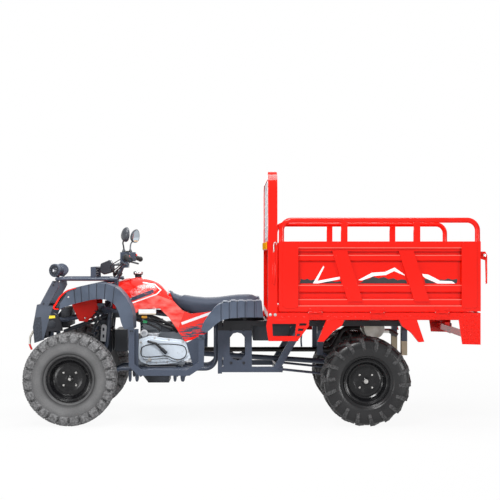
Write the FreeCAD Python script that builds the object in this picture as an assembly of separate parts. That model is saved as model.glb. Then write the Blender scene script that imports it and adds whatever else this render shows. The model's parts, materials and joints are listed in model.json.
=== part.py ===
import FreeCAD, Part
import math
import os

# Farm quad bike with a tipping cargo bed behind the seat.
# Millimetres. X runs from the front bumper (minus) to the tailgate (plus),
# Y runs to the rider's right, Z is up and the tyres stand on Z = 0.
# The origin is on the floor under the middle of the vehicle.

# Wheels
front_axle_x = -1118.0
rear_axle_x = 721.0
front_wheel_y = 450.0
rear_wheel_y = 430.0
front_tyre_radius = 292.0
rear_tyre_radius = 279.0
front_tyre_width = 178.0
rear_tyre_width = 254.0
rim_radius = 127.0
rim_flange = 15.0
front_rim_width = 142.0
rear_rim_width = 206.0
lug_height = 13.0
lug_length = 24.0
front_lugs = 16
rear_lugs = 16

# Steering and front suspension
kingpin_y = 366.0
steer_arm = 62.0
rake = math.radians(22.4)
column_foot_x = -1103.0
column_foot_z = 332.0
column_radius = 12.0
spindle_radius = 15.0
running_fit = 0.05
rest_gap = 0.3
swing_gap = 6.0

# Main frame
frame_tube = 14.0
frame_y = 150.0
frame_low_z = 325.0
nose_low_z = 258.0
nose_high_z = 430.0
nose_x = -1280.0
seat_rail_y = 110.0
seat_rail_z = 664.0
arm_bush_y = 190.0
frame_rear_x = -216.0
hip_x = -900.0
hip_z = 700.0

# Load frame under the bed
beam = 34.0
load_y = 250.0
load_top_z = 641.0
load_low_z = 347.0
load_end_x = 1035.0

# Cargo bed
bed_front_x = 110.0
bed_rear_x = 1410.0
bed_half = 600.0
bed_floor_z = 712.0
floor_edge = 40.0
bed_ledge_z = 709.0
bed_rim_z = 667.0
side_top_z = 1146.0
side_front_x = 176.0
side_rear_x = 1411.0
side_depth = 36.0
tail_x = 1455.0
headboard_z = 1580.0
headboard_depth = 58.0
rail_radius = 16.0
rail_top_z = 1276.0
rail_post = 40.0
gate_depth = 36.0
hinge_radius = 6.0
hinge_pin = 3.0

# Rider's end
foot_y = 470.0
fender_y = 470.0
rear_fender_y = 430.0
skin = 4.0

parts = {}


def at(x, y, z):
    return FreeCAD.Vector(x, y, z)


def block(x0, x1, y0, y1, z0, z1):
    """A box between two corners."""
    return Part.makeBox(x1 - x0, y1 - y0, z1 - z0, at(x0, y0, z0))


def side_plate(outline, y0, y1):
    """A side outline of (x, z) points carried across from y0 to y1."""
    points = [at(x, y0, z) for x, z in outline]
    face = Part.Face(Part.makePolygon(points + points[:1]))
    return face.extrude(at(0, y1 - y0, 0))


def end_plate(outline, x0, x1):
    """An end outline of (y, z) points carried along from x0 to x1."""
    points = [at(x0, y, z) for y, z in outline]
    face = Part.Face(Part.makePolygon(points + points[:1]))
    return face.extrude(at(x1 - x0, 0, 0))


def rod(start, end, radius):
    """A straight round bar between two points."""
    run = end - start
    return Part.makeCylinder(radius, run.Length, start, run)


def bent_path(points, bend):
    """Straight runs joined by tangent arcs."""
    edges = []
    start = points[0]
    for before, corner, after in zip(points, points[1:], points[2:]):
        back = (before - corner).normalize()
        on = (after - corner).normalize()
        half = back.getAngle(on) / 2
        limit = 0.49 * min((before - corner).Length, (after - corner).Length)
        reach = min(bend / math.tan(half), limit)
        radius = reach * math.tan(half)
        first = corner + back * reach
        last = corner + on * reach
        middle = corner + (back + on).normalize() * (radius / math.sin(half) - radius)
        edges.append(Part.makeLine(start, first))
        edges.append(Part.Arc(first, middle, last).toShape())
        start = last
    edges.append(Part.makeLine(start, points[-1]))
    return Part.Wire(edges)


def bent_tube(points, radius, bend):
    """A round bar swept along straight runs and arcs."""
    path = bent_path(points, bend)
    ring = Part.Wire(Part.makeCircle(radius, points[0], points[1] - points[0]))
    return path.makePipeShell([ring], True, False)


def join(shapes):
    """One solid made of pieces that meet."""
    return shapes[0].multiFuse(shapes[1:]).removeSplitter()


def mirrored(shape):
    return shape.mirror(at(0, 0, 0), at(0, 1, 0))


def both_sides(shape):
    """The shape and its mirror image across the middle plane."""
    return [shape, mirrored(shape)]


def placed(shape, x, y, z):
    moved = shape.copy()
    moved.translate(at(x, y, z))
    return moved


def keep(name, *shapes):
    """Record a node, made of one or more solids that don't touch."""
    solids = [solid for shape in shapes for solid in shape.Solids]
    parts[name] = solids[0] if len(solids) == 1 else Part.makeCompound(solids)


# Wheels. Each tyre is a closed ring with its lugs fused on, seated on a
# steel rim whose hub turns on the knuckle's spindle or on the axle shaft.
def tyre(radius, width, rim_width, lugs, lug_lean, lug_reach):
    crown = radius - lug_height
    half = width / 2
    seat = (rim_radius + rest_gap) / math.cos(math.pi / (2 * lugs))
    bead = rim_width / 2 - 9 - rest_gap
    section = [
        (seat, -bead), (rim_radius + rim_flange, 3 - bead), (0.78 * radius, -half), (crown, -0.72 * half),
        (crown, 0.72 * half), (0.78 * radius, half), (rim_radius + rim_flange, bead - 3), (seat, bead)]
    sides = 2 * lugs
    rings = []
    for r, y in section:
        turns = [2 * math.pi * (corner + 0.5) / sides for corner in range(sides)]
        rings.append([at(r * math.sin(turn), y, -r * math.cos(turn)) for turn in turns])
    facets = []
    for ring, following in zip(rings, rings[1:] + rings[:1]):
        for corner in range(sides):
            points = [ring[corner - 1], ring[corner], following[corner], following[corner - 1]]
            facets.append(Part.Face(Part.makePolygon(points + points[:1])))
    carcass = Part.makeSolid(Part.makeShell(facets))
    lean = math.radians(lug_lean)
    corner = lug_length / 2 * math.cos(lean) + 0.44 * half * math.sin(lean)
    tip = math.sqrt(radius ** 2 - corner ** 2)
    pitch = 360.0 / lugs
    blocks = []
    for side in (-1, 1):
        near, far = sorted((side * 0.06 * half, side * lug_reach * half))
        lug = block(-lug_length / 2, lug_length / 2, near, far, -tip, -0.87 * radius)
        for turn in range(lugs):
            piece = lug.copy()
            piece.rotate(at(0, side * 0.5 * half, 0), at(0, 0, 1), side * lug_lean)
            piece.rotate(at(0, 0, 0), at(0, 1, 0), (turn + (side < 0) / 2) * pitch)
            blocks.append(piece)
    return carcass.multiFuse(blocks)


def rim(width, disc_y, dish, hub_back, bore_radius):
    half = width / 2
    drop = rim_radius - 5
    lip = rim_radius + rim_flange
    bore_end = disc_y + 13
    section = [
        (0, disc_y + 24), (14, disc_y + 24), (24, disc_y + 18), (28, disc_y + 3),
        (95, disc_y + 3), (drop - 4, disc_y + dish), (drop, disc_y + dish + 12), (drop, half - 8),
        (lip - 5, half), (lip, half), (lip, half - 5), (rim_radius, half - 9),
        (rim_radius, 9 - half), (lip, 5 - half), (lip, -half), (lip - 5, -half),
        (drop, 8 - half), (drop, disc_y + dish - 8), (97, disc_y - 3), (50, disc_y - 3),
        (50, hub_back), (bore_radius, hub_back), (bore_radius, bore_end), (0, bore_end)]
    outline = [at(r, y, 0) for r, y in section]
    face = Part.Face(Part.makePolygon(outline + outline[:1]))
    return face.revolve(at(0, 0, 0), at(0, 1, 0), 360)


front_disc = 21.0
rear_disc = 46.0
front_hub_back = -35.0
rear_hub_back = -117.0
shaft_radius = 16.0

front_tyre = tyre(front_tyre_radius, front_tyre_width, front_rim_width, front_lugs, 14, 0.92)
rear_tyre = tyre(rear_tyre_radius, rear_tyre_width, rear_rim_width, rear_lugs, 24, 0.9)
front_rim = rim(front_rim_width, front_disc, 17, front_hub_back, spindle_radius + running_fit)
rear_rim = rim(rear_rim_width, rear_disc, 22, rear_hub_back, shaft_radius + running_fit)
front_axle_z = -min(vertex.Z for vertex in front_tyre.Vertexes)
rear_axle_z = -min(vertex.Z for vertex in rear_tyre.Vertexes)
wheel_pieces = [
    ("tyre_front", front_tyre, front_axle_x, front_wheel_y, front_axle_z),
    ("tyre_rear", rear_tyre, rear_axle_x, rear_wheel_y, rear_axle_z),
    ("rim_front", front_rim, front_axle_x, front_wheel_y, front_axle_z),
    ("rim_rear", rear_rim, rear_axle_x, rear_wheel_y, rear_axle_z)]
for name, shape, x, y, z in wheel_pieces:
    right = placed(shape, x, y, z)
    keep(name + "_right", right)
    keep(name + "_left", mirrored(right))

# Steering knuckles. An upright between the two ball joints carries the
# wheel's spindle on its outer side and the steering arm ahead of it.
knuckle_half = 67.0
ball_height = 24.0
low_ball_z = front_axle_z - knuckle_half - rest_gap - ball_height
high_ball_z = front_axle_z + knuckle_half + rest_gap
rod_z = front_axle_z + 8
upright_face = kingpin_y + 22
spindle_end = front_wheel_y + front_disc + 8
hub_face_y = front_wheel_y + front_hub_back
spindle_root = at(front_axle_x, upright_face, front_axle_z)
arm_front = front_axle_x - steer_arm - 14

upright = block(front_axle_x - 20, front_axle_x + 20, kingpin_y - 18, upright_face,
                front_axle_z - knuckle_half, front_axle_z + knuckle_half)
shoulder = Part.makeCylinder(30, hub_face_y - rest_gap - upright_face, spindle_root, at(0, 1, 0))
spindle = Part.makeCylinder(spindle_radius, spindle_end - upright_face, spindle_root, at(0, 1, 0))
steering_arm = block(arm_front, front_axle_x - 20, kingpin_y - 14, kingpin_y + 10,
                     rod_z - 12, rod_z - rest_gap)
knuckle_right = join([upright, shoulder, spindle, steering_arm])
keep("knuckle_right", knuckle_right)
keep("knuckle_left", mirrored(knuckle_right))

# Tie rods. Each runs level from the knuckle's arm to the foot of the
# steering column, with an eye at both ends.
rod_eye = 13.0
rod_thick = 16.0
rod_inner_y = 30.0
rod_outer_y = kingpin_y - 2
rod_x = front_axle_x - steer_arm
rod_pieces = [rod(at(rod_x, rod_inner_y, rod_z + rod_thick / 2), at(rod_x, rod_outer_y, rod_z + rod_thick / 2), 7)]
for eye_y in (rod_inner_y, rod_outer_y):
    rod_pieces.append(Part.makeCylinder(rod_eye, rod_thick, at(rod_x, eye_y, rod_z), at(0, 0, 1)))
tie_rod_right = join(rod_pieces)
keep("tie_rod_right", tie_rod_right)
keep("tie_rod_left", mirrored(tie_rod_right))

# Front suspension arms: two wishbones a side, in one node, each running
# from bushes on the frame out to its ball joint.
bush_radius = 15.0
bush_length = 40.0
arm_radius = 10.0
low_bush_z = nose_low_z
high_bush_z = nose_high_z - 30
low_bushes = (-110.0, 110.0)
high_bushes = (-90.0, 12.0)
shock_foot = at(front_axle_x + 26, 292, 268)
shock_head = at(-950, 232, 735)
damper_radius = 16.0
shock_length = (shock_head - shock_foot).Length
shock_step = (shock_head - shock_foot).normalize()


def on_shock(distance):
    return shock_foot + shock_step * distance


def wishbone(bushes, bush_z, ball_z):
    pieces = [Part.makeCylinder(19, ball_height, at(front_axle_x, kingpin_y, ball_z), at(0, 0, 1))]
    tip = at(front_axle_x, kingpin_y, ball_z + ball_height / 2)
    for reach in bushes:
        x = front_axle_x + reach
        pieces.append(Part.makeCylinder(bush_radius, bush_length,
                                        at(x - bush_length / 2, arm_bush_y, bush_z), at(1, 0, 0)))
        pieces.append(rod(at(x, arm_bush_y, bush_z), tip, arm_radius))
    return pieces


shock_share = (shock_foot.y - arm_bush_y) / (kingpin_y - arm_bush_y)
bridge_z = low_bush_z + shock_share * (low_ball_z + ball_height / 2 - low_bush_z)
bridge_half = low_bushes[1] * (1 - shock_share)
bridge = rod(at(front_axle_x - bridge_half, shock_foot.y, bridge_z),
             at(front_axle_x + bridge_half, shock_foot.y, bridge_z), 8)
shock_post = block(shock_foot.x - 13, shock_foot.x + 13, shock_foot.y - 13, shock_foot.y + 13,
                   bridge_z, shock_foot.z + 4)
shock_seat = rod(on_shock(-rest_gap), on_shock(60), damper_radius + rest_gap)
knuckle_room = Part.makeCylinder(34, 2 * knuckle_half, at(front_axle_x, kingpin_y, low_ball_z + ball_height))
low_arm = join(wishbone(low_bushes, low_bush_z, low_ball_z) + [bridge, shock_post.cut(shock_seat)])
low_arm = low_arm.cut(knuckle_room)
high_arm = join(wishbone(high_bushes, high_bush_z, high_ball_z))
keep("front_arms", *both_sides(low_arm), *both_sides(high_arm))

# Coil-over shock absorbers: a damper tube, its rod and a coil spring
# drawn as close rings between two cups.
coil_turns = 8
shock_pieces = [
    rod(on_shock(0), on_shock(0.45 * shock_length), damper_radius),
    rod(on_shock(0.4 * shock_length), on_shock(shock_length), 9),
    rod(on_shock(0.18 * shock_length), on_shock(0.2 * shock_length), 27),
    rod(on_shock(0.9 * shock_length), on_shock(0.92 * shock_length), 27)]
for turn in range(coil_turns):
    middle = on_shock((0.24 + 0.64 * turn / (coil_turns - 1)) * shock_length)
    shock_pieces.append(rod(middle - shock_step * 4, middle + shock_step * 4, 24))
keep("front_shocks", *both_sides(join(shock_pieces)))

# Main frame: round tubes in a cradle round the engine, with the steering
# column's bearings, the arm brackets, the shock towers and the seat rails.
stay_radius = 12.0
nose_top_z = 626.0
seat_rail_front_x = -440.0
seat_rail_end_x = -60.0
engine_front_x = -720.0
engine_rear_x = -420.0
tower_z = 752.0


def frame_run(points, bend=70.0):
    return bent_tube([at(*point) for point in points], frame_tube, bend)


def bracket(x, z):
    """Two ears a side that hold an arm's bush on the frame tubes."""
    ears = []
    for side in (-1, 1):
        face = x + side * (bush_length / 2 + rest_gap)
        near, far = sorted((face, face + side * 5))
        ears.extend(both_sides(block(near, far, frame_y, arm_bush_y + 14, z - 16, z + 16)))
    return ears


frame_pieces = []
for side in (-1, 1):
    rail = side * frame_y
    seat_rail = side * seat_rail_y
    frame_pieces.append(frame_run([
        (nose_x, rail, nose_top_z + 14), (nose_x, rail, nose_low_z), (-960, rail, nose_low_z),
        (-840, rail, frame_low_z), (frame_rear_x, rail, frame_low_z), (frame_rear_x, rail, seat_rail_z)]))
    frame_pieces.append(frame_run([
        (nose_x, rail, nose_high_z), (hip_x - 30, rail, nose_high_z), (hip_x, rail, hip_z)]))
    frame_pieces.append(frame_run([
        (nose_x, rail, nose_top_z), (hip_x, rail, hip_z), (-760, seat_rail, hip_z),
        (seat_rail_front_x, seat_rail, seat_rail_z), (seat_rail_end_x, seat_rail, seat_rail_z)]))
    frame_pieces.append(rod(at(frame_rear_x, rail, seat_rail_z - 6), at(frame_rear_x, seat_rail, seat_rail_z - 6), 13))
    frame_pieces.append(rod(at(hip_x, rail, hip_z), at(shock_head.x, side * 206, tower_z - 30), frame_tube))
    frame_pieces.append(block(shock_head.x - 22, shock_head.x + 22, *sorted((side * 196, side * 252)),
                              tower_z - 16, tower_z))
    frame_pieces.append(block(shock_head.x - 22, shock_head.x + 22, *sorted((side * 192, side * 202)),
                              tower_z - 60, tower_z))
for reach in low_bushes:
    frame_pieces.extend(bracket(front_axle_x + reach, low_bush_z))
for reach in high_bushes:
    frame_pieces.extend(bracket(front_axle_x + reach, high_bush_z + 8))
cross_tubes = [
    (nose_x + 75, nose_low_z, frame_y), (nose_x, nose_high_z, frame_y), (-980, nose_low_z, frame_y),
    (engine_front_x + 30, frame_low_z, frame_y),
    (engine_rear_x - 30, frame_low_z, frame_y), (frame_rear_x, 520, frame_y),
    (hip_x - 20, hip_z - 5, frame_y), (seat_rail_end_x - 20, seat_rail_z, seat_rail_y)]
for x, z, half in cross_tubes:
    frame_pieces.append(rod(at(x, -half, z), at(x, half, z), stay_radius))

column_axis = at(math.sin(rake), 0, math.cos(rake))
column_foot = at(column_foot_x, 0, column_foot_z)
bearing_low = 120.0
bearing_high = 520.0
bearing_length = 36.0
bearing_radius = 24.0
column_length = 710.0


def on_column(distance):
    return column_foot + column_axis * distance


for distance in (bearing_low, bearing_high):
    frame_pieces.append(Part.makeCylinder(bearing_radius, bearing_length, on_column(distance), column_axis))
high_post = on_column(bearing_high + bearing_length / 2)
frame_pieces.append(block(-1098, -1016, -frame_y, frame_y, nose_high_z - 6, nose_high_z + 22))
for side in (-1, 1):
    frame_pieces.append(rod(at(hip_x, side * 130, hip_z), at(high_post.x, side * 20, high_post.z), 10))
column_bore = Part.makeCylinder(column_radius + running_fit, column_length, column_foot, column_axis)
shock_tops = both_sides(rod(on_shock(0.85 * shock_length), on_shock(shock_length + rest_gap), 9 + rest_gap))
main_frame = join(frame_pieces).cut(column_bore)
for top in shock_tops:
    main_frame = main_frame.cut(top)
keep("main_frame", main_frame)

# Handlebar: the raked column with its drop arm at the foot, the clamp,
# the bent bar and the switch boxes and levers on it.
bar_radius = 11.0
grip_radius = 16.0
bar_run = [(-818, 0, 1008), (-818, 110, 1008), (-812, 190, 1042), (-786, 270, 1048), (-750, 405, 1032)]
bar_points = [at(x, -y, z) for x, y, z in reversed(bar_run[1:])] + [at(x, y, z) for x, y, z in bar_run[1:]]
grip_start = at(*bar_run[3])
grip_end = at(*bar_run[4])
grip_step = (grip_end - grip_start).normalize()
drop_arm_z = rod_z + rod_thick + 18
column = Part.makeCylinder(column_radius, column_length, column_foot, column_axis)
drop_arm = block(arm_front, column_foot_x + 12, -42, 42, drop_arm_z, drop_arm_z + 16)
switch_top = 1080.0
clamp = block(-846, -794, -52, 52, 978, 1022)
bar_pieces = [column, drop_arm, clamp, bent_tube(bar_points, bar_radius, 45)]
for side in (-1, 1):
    switch = block(-826, -768, *sorted((side * 200, side * 256)), switch_top - 62, switch_top)
    lever = bent_tube([at(-822, side * 235, 1032), at(-800, side * 295, 1012), at(-762, side * 385, 1000)], 6, 20)
    bar_pieces.extend([switch, lever])
keep("handlebar", join(bar_pieces))

hollow = rod(grip_start, grip_end + grip_step * 0.05, bar_radius + running_fit)
grip_right = rod(grip_start + grip_step * 14, grip_end + grip_step * 8, grip_radius).cut(hollow)
keep("grips", *both_sides(grip_right))

# Instrument pod on a stalk in front of the clamp, and the two mirrors.
pod_outline = [(-975, 1004), (-915, 1030), (-886, 978), (-905, 945), (-952, 932), (-980, 950)]
pod = side_plate(pod_outline, -50, 50)
stalk = block(-900, -846 - rest_gap, -20, 20, 990, 1002)
keep("instrument", join([pod, stalk]))

mirror_y = 360.0
mirror_z = 1191.0
mirror_x = -783.0
mirror_turn = 27.0
stem = bent_tube([at(-804, 238, switch_top + rest_gap), at(-804, 238, 1110), at(-806, 305, 1138), at(-788, 345, 1180)], 5, 12)
shell_outline = [(-46, -10), (-36, -40), (0, -46), (38, -38), (48, -4), (38, 34), (6, 46), (-30, 36)]
mirror_shell = end_plate([(mirror_y + y, mirror_z + z) for y, z in shell_outline], mirror_x - 12, mirror_x + 10)
mirror_shell.rotate(at(mirror_x, mirror_y, mirror_z), at(0, 0, 1), -mirror_turn)
keep("mirrors", *both_sides(join([stem, mirror_shell])))

# Front bumper: a pressed shield with side wings, open behind for the
# winch, two feet on the frame and two arms that carry the front rack.
bumper_half = 195.0
bumper_skin = 6.0
rack_z = 906.0
rack_radius = 11.0
rack_half = 215.0
rack_front_x = -1244.0
rack_rear_x = -846.0
shield_outline = [(-1369, 741), (-1262, 731), (-1298, 638), (-1323, 515), (-1385, 494), (-1395, 597)]
shield_hollow = [(-1361, 760), (-1250, 760), (-1250, 600), (-1300, 480), (-1378, 480), (-1387, 597)]
shield = side_plate(shield_outline, -bumper_half, bumper_half)
shield = shield.cut(side_plate(shield_hollow, bumper_skin - bumper_half, bumper_half - bumper_skin))
rack_under = rack_z - rack_radius - rest_gap
arm_outline = [(-1352, 738), (-1296, 733), (-1226, 860), (-1230, rack_under), (-1268, rack_under)]
bumper_arm = side_plate(arm_outline, bumper_half - 22, bumper_half)
frame_face_x = nose_x - frame_tube - rest_gap
bumper_leg = rod(at(frame_face_x, 172, 560), at(-1388, 172, 560), 12)
bumper_foot = block(frame_face_x - 16, frame_face_x, 140, 193, 540, 580)
winch_shelf = block(-1388, -1310, -176, 176, 554, 560)
pod_side = side_plate([(-1317, 568), (-1315, 615), (-1296, 650), (-1262, 688), (-1236, 672), (-1213, 631), (-1204, 572)],
                      frame_y + frame_tube + 3.5, bumper_half)
keep("front_bumper", join([shield, winch_shelf, *both_sides(pod_side), *both_sides(bumper_arm),
    *both_sides(bumper_leg),
                           *both_sides(bumper_foot)]))

# Front rack: a tube loop with cross and long tubes, a flat hoop across
# it, and two rear legs with feet on the frame.
rack_long = 140.0
rack_cross = (-1190.0, -1003.0, -915.0)
rack_leg_x = -850.0
loop_points = [(rack_rear_x, rack_half), (rack_front_x, rack_half), (rack_front_x, -rack_half),
               (rack_rear_x, -rack_half)]
rack_pieces = [bent_tube([at(x, y, rack_z) for x, y in loop_points], rack_radius, 45)]
for x in rack_cross:
    rack_pieces.append(rod(at(x, -rack_half, rack_z), at(x, rack_half, rack_z), 8))
for y in (-rack_long, 0, rack_long):
    rack_pieces.append(rod(at(rack_front_x, y, rack_z), at(rack_cross[2], y, rack_z), 8))
screen = block(-1028, -994, -150, 150, rack_z, 984)
rack_pieces.append(screen.cut(block(-1030, -980, -143, 143, rack_z - 10, 977)))
for side in (-1, 1):
    foot = block(rack_leg_x - 20, rack_leg_x + 20, *sorted((side * 140, side * 209)), hip_z - 8, hip_z + 8)
    clamp_bore = rod(at(hip_x, side * frame_y, hip_z), at(-760, side * seat_rail_y, hip_z), frame_tube + rest_gap)
    rack_pieces.append(foot.cut(clamp_bore))
    rack_pieces.append(rod(at(rack_leg_x, side * 200, hip_z), at(rack_leg_x, side * 200, rack_z), 9))
keep("front_rack", join(rack_pieces))

# Headlamps: two round lamps with finned backs on the front of the rack,
# turned outwards.
lamp_turn = math.radians(50)
lamp_face = at(-1270, 150, 961)
lamp_back = at(math.cos(lamp_turn), -math.sin(lamp_turn), 0)
lamp_radius = 43.0
lamp_ring = 26.0
lamp_depth = 70.0
rack_top = rack_z + rack_radius + rest_gap
post_middle = lamp_face + lamp_back * (lamp_ring + 9)
lamp_pieces = [
    rod(lamp_face, lamp_face + lamp_back * lamp_ring, lamp_radius),
    rod(lamp_face, lamp_face + lamp_back * lamp_depth, 24),
    block(rack_front_x - 10, rack_front_x + 10, post_middle.y - 12, post_middle.y + 12, rack_top, 945)]
for fin in range(4):
    fin_foot = lamp_face + lamp_back * (lamp_ring + 8 + 10 * fin)
    lamp_pieces.append(rod(fin_foot, fin_foot + lamp_back * 4, 40 - 3 * fin))
keep("headlamps", *both_sides(join(lamp_pieces)))

# Winch on the bumper's shelf: a drum between a motor and a gearbox, and
# the hook that hangs from its rope at the bumper's lower lip.
winch_z = 616.0
winch_x = -1330.0
winch_pieces = [
    rod(at(winch_x, -100, winch_z), at(winch_x, -45, winch_z), 44),
    rod(at(winch_x, -45, winch_z), at(winch_x, 45, winch_z), 26),
    rod(at(winch_x, 45, winch_z), at(winch_x, 100, winch_z), 44),
    block(winch_x - 30, winch_x + 18, -90, 90, 560 + rest_gap, 585)]
keep("winch", join(winch_pieces))
hook_bar = bent_tube([at(-1399, 0, 560), at(-1424, 0, 560), at(-1444, 0, 520), at(-1448, 0, 470), at(-1434, 0, 436)], 7, 14)
hook_plate = block(-1401, -1395 - rest_gap, -60, 60, 520, 600)
keep("winch_hook", join([hook_bar, hook_plate]))

# Radiator behind the bumper, between the frame tubes.
radiator_half = frame_y - frame_tube - rest_gap
radiator = block(-1221, -1165, -radiator_half, radiator_half, 600, 720)
for row in range(5):
    z = 614 + 20 * row
    radiator = radiator.cut(block(-1222, -1213, 20 - radiator_half, radiator_half - 20, z, z + 10))
keep("radiator", radiator)

# Front cowl: the red sheet between the front fenders, with a red inner
# guard hanging down each side of the frame.
cowl_half = 248.0
cowl_top = [(-1187, 742), (-1160, 806), (-1091, 846), (-1018, 866), (-960, 874), (-906, 876)]


def arch_band(points, thick, y0, y1):
    """A curved sheet: a smooth line and its copy a skin lower, carried across."""
    upper = [at(x, y0, z) for x, z in points]
    middle = at(points[len(points) // 2][0], y0, points[0][1] - 120)
    lower = [point + (middle - point).normalize() * thick for point in upper]
    edges = [smooth(upper), Part.makeLine(upper[-1], lower[-1]), smooth(lower), Part.makeLine(lower[0], upper[0])]
    face = Part.Face(Part.Wire(Part.sortEdges(edges)[0]))
    return face.extrude(at(0, y1 - y0, 0))


def smooth(points):
    curve = Part.BSplineCurve()
    curve.interpolate(points)
    return curve.toShape()


cowl = arch_band(cowl_top, skin, -cowl_half, cowl_half)
guard_outline = [(-1160, 790), (-1151, 750), (-1099, 634), (-1048, 630), (-985, 700), (-985, 868), (-1018, 863),
                 (-1091, 843), (-1150, 812)]
guards = both_sides(side_plate(guard_outline, 172, 175))
guard_boss_x = -1060.0
boss_share = (guard_boss_x - nose_x) / (hip_x - nose_x)
guard_boss_z = nose_top_z + boss_share * (hip_z - nose_top_z)
guard_bosses = both_sides(rod(at(guard_boss_x, frame_y + frame_tube + rest_gap, guard_boss_z),
                              at(guard_boss_x, 173, guard_boss_z), 10))
column_room = Part.makeCylinder(bearing_radius + 8, 400, on_column(400), column_axis)
cowl = join([cowl, *guards, *guard_bosses]).cut(column_room)
keep("front_cowl", cowl)

# Front fenders: black flares over the wheels, each an arched deck with a
# deep outer lip and a leg that runs down behind the wheel.
flare_top = [(-1187, 723), (-1174, 782), (-1147, 833), (-1091, 858), (-1018, 876), (-947, 887), (-876, 879),
             (-830, 858), (-787, 819), (-755, 769), (-735, 726), (-726, 682), (-723, 601)]
flare_low = [(-780, 601), (-801, 645), (-816, 705), (-847, 758), (-894, 783), (-947, 788), (-1018, 776),
             (-1091, 758), (-1149, 740)]


def lip_plate(top, low, y0, y1):
    """A flat lip between two smooth lines, carried across from y0 to y1."""
    upper = [at(x, y0, z) for x, z in top]
    lower = [at(x, y0, z) for x, z in low]
    edges = [smooth(upper), Part.makeLine(upper[-1], lower[0]), smooth(lower), Part.makeLine(lower[-1], upper[0])]
    face = Part.Face(Part.Wire(Part.sortEdges(edges)[0]))
    return face.extrude(at(0, y1 - y0, 0))


flare_deck = arch_band(flare_top, skin, cowl_half + rest_gap, fender_y)
flare_lip = lip_plate(flare_top, flare_low, fender_y - skin, fender_y)
fender_right = join([flare_deck, flare_lip])
keep("front_fender_right", fender_right)
keep("front_fender_left", mirrored(fender_right))

# Body cover: the red tank cover with a crowned top, and the side panels
# that run down behind the rider's knees.
panel_y = 198.0
panel_skin = 6.0
tank_sections = [(-884, 150, 766, 868), (-770, 198, 812, 914), (-660, 202, 812, 911), (-580, 168, 790, 880),
                 (-534, 132, 770, 832)]
tank_floor = hip_z + frame_tube + rest_gap


def crowned_section(x, half, shoulder, top, floor):
    """A flat-bottomed end outline with a crowned top."""
    left = at(x, -half, shoulder)
    right = at(x, half, shoulder)
    crown = Part.BSplineCurve()
    crown.interpolate([left, at(x, -0.72 * half, shoulder + 0.7 * (top - shoulder)), at(x, 0, top),
                       at(x, 0.72 * half, shoulder + 0.7 * (top - shoulder)), right])
    return Part.Wire([Part.makeLine(at(x, half, floor), at(x, -half, floor)), Part.makeLine(at(x, -half, floor), left),
                      crown.toShape(), Part.makeLine(right, at(x, half, floor))])


tank = Part.makeLoft([crowned_section(x, half, shoulder, top, tank_floor)
                      for x, half, shoulder, top in tank_sections], True)
panel_outline = [(-768, 749), (-749, 684), (-723, 691), (-707, 715), (-579, 720), (-517, 659), (-414, 504),
                 (-332, 525), (-281, 555), (-230, 700), (-373, 684), (-424, 700), (-527, 802), (-600, 812), (-750, 812)]
panel = side_plate(panel_outline, panel_y, panel_y + panel_skin)
panel_web = side_plate([(-768, 749), (-700, 724), (-600, 724), (-540, 780), (-600, 800), (-750, 800)],
                       150, panel_y + 1)
cap_x = -731.0
neck_radius = 22.0
neck_foot_z = 895.0
neck_hole = Part.makeCylinder(neck_radius + rest_gap, 80, at(cap_x, 0, neck_foot_z - rest_gap))
body_cover = join([tank, *both_sides(panel), *both_sides(panel_web)]).cut(column_room).cut(neck_hole)
keep("body_cover", body_cover)

keep("fuel_cap", join([Part.makeCylinder(neck_radius, 40, at(cap_x, 0, neck_foot_z)),
                       Part.makeCylinder(30, 20, at(cap_x, 0, 931))]))

# Seat: one long pad that dips at the middle and kicks up at its tail.
seat_floor = seat_rail_z + frame_tube + rest_gap
seat_sections = [(-526, 96, 806, 826, 800), (-435, 122, 770, 792, 706), (-350, 146, 752, 779, seat_floor),
                 (-200, 158, 756, 784, seat_floor), (-40, 160, 768, 797, seat_floor), (60, 158, 764, 796, seat_floor),
                 (80, 150, 744, 762, seat_floor)]
seat = Part.makeLoft([crowned_section(x, half, shoulder, top, floor)
                      for x, half, shoulder, top, floor in seat_sections], True)
seat = seat.cut(block(-600, 120, -200, 200, 500, seat_floor))
keep("seat", seat)

# Rear fenders: black decks beside the seat that curve down behind the
# rider's feet, with a deep outer lip.
rear_top = [(-302, 588), (-286, 643), (-251, 690), (-212, 738), (-177, 759), (-136, 768), (-33, 774), (75, 774)]
rear_low = [(86, 672), (-33, 672), (-104, 668), (-152, 660), (-192, 643), (-229, 612), (-273, 576)]
deck = arch_band(rear_top, skin, 210, rear_fender_y)
inner_deck = block(-130, 75, 162, 212, 766, 770)
rear_lip = lip_plate(rear_top, rear_low, rear_fender_y - skin, rear_fender_y)
rear_fender = join([deck, inner_deck, rear_lip])
keep("rear_fenders", *both_sides(rear_fender))

# Footrests: a flat guard loop outside each footwell, the two leg shields
# inside it, pegs to the frame and a tread plate.
loop_top_z = flare_low[0][1] - rest_gap
loop_outline = [(-753, loop_top_z), (-753, 372), (-690, 312), (-375, 312), (-285, 372), (-281, 566),
                (-318, 566), (-318, 395), (-392, 348), (-672, 348), (-717, 384), (-717, loop_top_z)]
shield_y = 436.0
front_shield = [(-722, loop_top_z), (-722, 372), (-694, 345), (-694, loop_top_z)]
rear_shield = [(-398, 509), (-322, 552), (-316, 396), (-352, 360)]
foot_pieces = [
    side_plate(loop_outline, foot_y - 8, foot_y + 12),
    side_plate(front_shield, shield_y, shield_y + 6),
    block(-722, -716, shield_y, foot_y, 384, loop_top_z),
    side_plate(rear_shield, 402, 408),
    block(-324, -316, 402, foot_y, 400, 545)]
peg_start = frame_y + frame_tube + rest_gap
for x in (-650, -450):
    foot_pieces.append(rod(at(x, peg_start, frame_low_z), at(x, foot_y, frame_low_z), 12))
foot_pieces.append(block(-684, -390, 206, foot_y - 4, 331, 336))
keep("footrests", *both_sides(join(foot_pieces)))

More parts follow.
